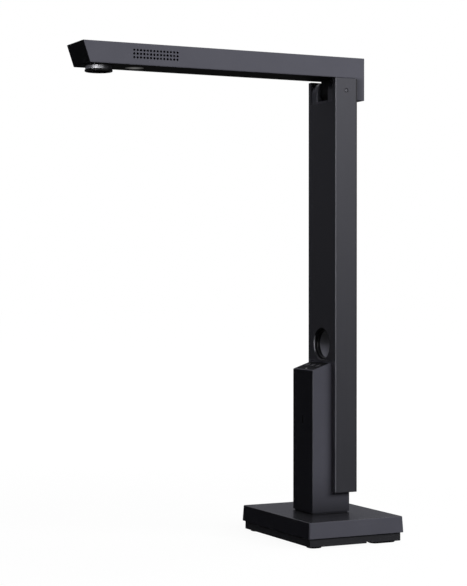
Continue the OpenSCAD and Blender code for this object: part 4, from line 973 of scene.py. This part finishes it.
def arm_looks(place):
    y, z = axes(place)[1:]
    by_column = y.band(arm_high.y + 1.5, column_high.y) * z.band(column_high.z + 2, column_high.z - 1)
    tip = arm_low.y + tan(TIP_SLANT) * arm_high.z
    shaded_tip = (y + tan(TIP_SLANT) * z).band(tip + 0.5, tip + 0.2)
    made = moulded(place, paint(89, 89, 98), paint(98, 98, 107))
    # Painted shade on the tab beside the column and on the tip's face.
    tab_shaded = tint(TAB_SHADE_DEPTH * by_column, made["Base Color"], SHADE)
    return {**made, "Base Color": tint(shaded_tip, tab_shaded, paint(28, 28, 31))}


arm_plastic = surface("arm_plastic", arm_looks, Specular_IOR_Level=0.03)
arm = prism([(TIP_Y0, ARM_Z0), (arm_low.y, arm_high.z), (arm_high.y, arm_high.z), (arm_high.y, arm_low.z),
             (TAB_Y0, arm_low.z), (TAB_Y0, ARM_Z0)], arm_low.x, arm_high.x)
rounded(arm, ARM_EDGE, 4, corner)
room_y0 = bottom_y - (ARM_H - ARM_WALL - BOTTOM_T) * tan(TIP_SLANT)
room_y1, room_z0 = arm_high.y - ARM_WALL, arm_low.z + ARM_WALL
inside = prism([(bottom_y, ARM_Z0 - 1), (bottom_y, ARM_Z0 + BOTTOM_T), (room_y0, roof), (room_y1, roof),
                (room_y1, room_z0), (TAB_Y0 - 1, room_z0), (TAB_Y0 - 1, ARM_Z0 - 1)],
               arm_low.x + ARM_WALL, arm_high.x - ARM_WALL)
speaker_low, speaker_high = extent("speaker")
grille_y = (speaker_low.y + speaker_high.y - (GRILLE_COLUMNS - 1) * GRILLE_PITCH) / 2
grille_z = (speaker_low.z + speaker_high.z - (GRILLE_ROWS - 1) * GRILLE_PITCH) / 2
drills = [rod(GRILLE_R, 0, arm_high.x - ARM_WALL - 1, arm_high.x + 1,
              (0, grille_y + i * GRILLE_PITCH, grille_z + j * GRILLE_PITCH), 16)
          for i in range(GRILLE_COLUMNS) for j in range(GRILLE_ROWS)]
arm = shown(carved(arm, inside, added(*drills)), "arm_moulding", arm_plastic)
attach(arm, "arm")
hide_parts("arm_housing")
dress(tray_plastic, "arm_bottom_cover")

# The camera: a lens in a satin metal barrel that stands out under the arm's tip, with a black front ring.
# A flat glass closes it, and the lens cell, the sensor and their board sit above it inside the arm.


def satin_looks(place):
    lathe = speckle(place, 0.5, 3, (0.02, 0.02, 1))
    return {"Base Color": tint(lathe, paint(132, 132, 135), paint(140, 140, 143)),
            "Roughness": 0.38 + 0.04 * lathe, "Normal": relief(lathe, 0.001)}


def gloss_looks(place):
    cloud = speckle(place, 3, 3)
    return {"Base Color": tint(cloud, paint(12, 12, 14), paint(18, 18, 20)),
            "Roughness": 0.25 + 0.1 * cloud}


def glass_looks(place):
    cloud = speckle(place, 6, 2)
    return {"Base Color": tint(cloud, paint(214, 218, 236), paint(226, 222, 240)),
            "Roughness": 0.02 + 0.02 * cloud}


lens_metal = surface("lens_metal", satin_looks, Metallic=1.0)
lens_gloss = surface("lens_gloss", gloss_looks, Specular_IOR_Level=0.08)
lens_glass = surface("lens_glass", glass_looks, Transmission_Weight=1.0, IOR=1.45)
ring_low, ring_high = extent("lens_ring")
LENS_Y, LENS_Z = (ring_low.y + ring_high.y) / 2, ring_low.z
RING_R, RING_H = ring_high.x, ring_high.z - ring_low.z
BARREL_R, FLANGE_R, GLASS_SEAT, BORE_R = RING_R - 0.5, RING_R + 0.2, RING_R - 1.5, RING_R - 2.8
SEAT_Z, SEAT_T, BARREL_CHAMFER, GLASS_TOP = 6.4, 1.3, 0.15, 2.7
BARREL_TOP = SEAT_Z + SEAT_T
barrel = turned([(GLASS_SEAT, RING_H), (BARREL_R - BARREL_CHAMFER, RING_H),
                 (BARREL_R, RING_H + BARREL_CHAMFER), (BARREL_R, SEAT_Z), (FLANGE_R, SEAT_Z),
                 (FLANGE_R, BARREL_TOP), (BORE_R, BARREL_TOP), (BORE_R, GLASS_TOP),
                 (GLASS_SEAT, GLASS_TOP)], 2, (0, LENS_Y, LENS_Z), 128)
barrel = shown(barrel, "lens_barrel_turning", lens_metal)
# A flag keeps the key lamp's glare off the barrel, which then has one soft highlight.
flag = bpy.data.collections.new("lens_flag")
flag.objects.link(barrel)
flag.collection_objects[0].light_linking.link_state = "EXCLUDE"
key_lamp.light_linking.receiver_collection = flag
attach(barrel, "arm")
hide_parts("lens_barrel")
RING_BORE, RING_SOFT, RING_KNEE, BORE_KNEE, RING_CHAMFER = RING_R - 2.2, 0.4, 0.12, 0.14, 0.15
ring = turned([(RING_BORE, RING_SOFT), (RING_BORE + RING_KNEE, BORE_KNEE), (RING_BORE + RING_SOFT, 0),
               (RING_R - RING_SOFT, 0), (RING_R - RING_KNEE, RING_KNEE), (RING_R, RING_SOFT),
               (RING_R, RING_H - RING_CHAMFER), (RING_R - RING_CHAMFER, RING_H), (RING_BORE, RING_H)],
              2, (0, LENS_Y, LENS_Z), 128)
ring = shown(ring, "lens_front_ring", lens_gloss)
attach(ring, "arm")
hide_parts("lens_ring")
dress(lens_glass, "lens_glass", "front_element")
dress(tray_plastic, "lens_cell", "image_sensor")
dress(circuit_board, "camera_board")
dress(plain_steel, "camera_screws", "tongue_screws")

# The lamp: a frosted disc with fine rings in its face, behind the lens in the arm's underside.
# A faint glow painted into its middle stands in for a glint.
# Six diodes on a round board shine through it from a bright metal cup.
LAMP_R, LAMP_RINGS, RING_DEPTH, LAMP_CHAMFER, LAMP_FLANGE = 7.4, 16, 0.16, 0.15, 0.9
lamp_low, lamp_high = extent("lamp_lens")
LAMP_Y, LAMP_T = (lamp_low.y + lamp_high.y) / 2, lamp_high.z - lamp_low.z
FLANGE_Z = LAMP_T - LAMP_FLANGE
steps = [(LAMP_R * i / LAMP_RINGS, RING_DEPTH if i % 2 else 0) for i in range(LAMP_RINGS)]
disc = turned([*steps, (LAMP_R - LAMP_CHAMFER, 0), (LAMP_R, LAMP_CHAMFER), (LAMP_R, FLANGE_Z),
               (lamp_high.x, FLANGE_Z), (lamp_high.x, LAMP_T), (0, LAMP_T)], 2, (0, LAMP_Y, lamp_low.z))


def disc_looks(place):
    x, y = axes(place)[:2]
    middle = span(x, y - LAMP_Y * MM).band(LAMP_R, 0)
    # A painted glint: a faint glow, brightest in the middle of the disc.
    glow = tint(middle, paint(12, 12, 12), paint(112, 112, 110))
    return {**frosted_looks(place), "Emission Color": glow}


glint_glow_plastic = surface("glint_glow_plastic", disc_looks, Specular_IOR_Level=0.5, Emission_Strength=1.0)
disc = shown(disc, "lamp_disc", glint_glow_plastic)
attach(disc, "arm")
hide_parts("lamp_lens")


def mirror_looks(place):
    cloud = speckle(place, 2, 3)
    return {"Base Color": tint(cloud, paint(206, 206, 208), paint(226, 226, 228)),
            "Roughness": 0.1 + 0.08 * cloud}


lamp_mirror = surface("lamp_mirror", mirror_looks, Metallic=1.0)
dress(lamp_mirror, "lamp_reflector")
dress(circuit_board, "lamp_board")
dress(lamp_plastic, "lamp_diodes")

# The speaker: a flat black driver on a foam-rubber frame, pressed against the drilled wall from inside.
# The flat cable runs over it along the arm's roof, from the camera to the hinge.
GASKET_W, GASKET_EDGE, GASKET_CORNER, OPENING_CORNER = 1.2, 0.15, 1.5, 0.8
low, high = extent("speaker_gasket")
gasket = rounded(block(low, high), GASKET_CORNER, 5, along(0))
opening = block((low.x - 1, low.y + GASKET_W, low.z + GASKET_W),
                (high.x + 1, high.y - GASKET_W, high.z - GASKET_W))
gasket = carved(gasket, rounded(opening, OPENING_CORNER, 4, along(0)))
gasket = shown(rounded(gasket, GASKET_EDGE, 2, corner), "gasket_frame", soft_rubber)
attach(gasket, "arm")
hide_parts("speaker_gasket")
dress(tray_plastic, "speaker")
dress(flat_cable, "arm_ribbon")
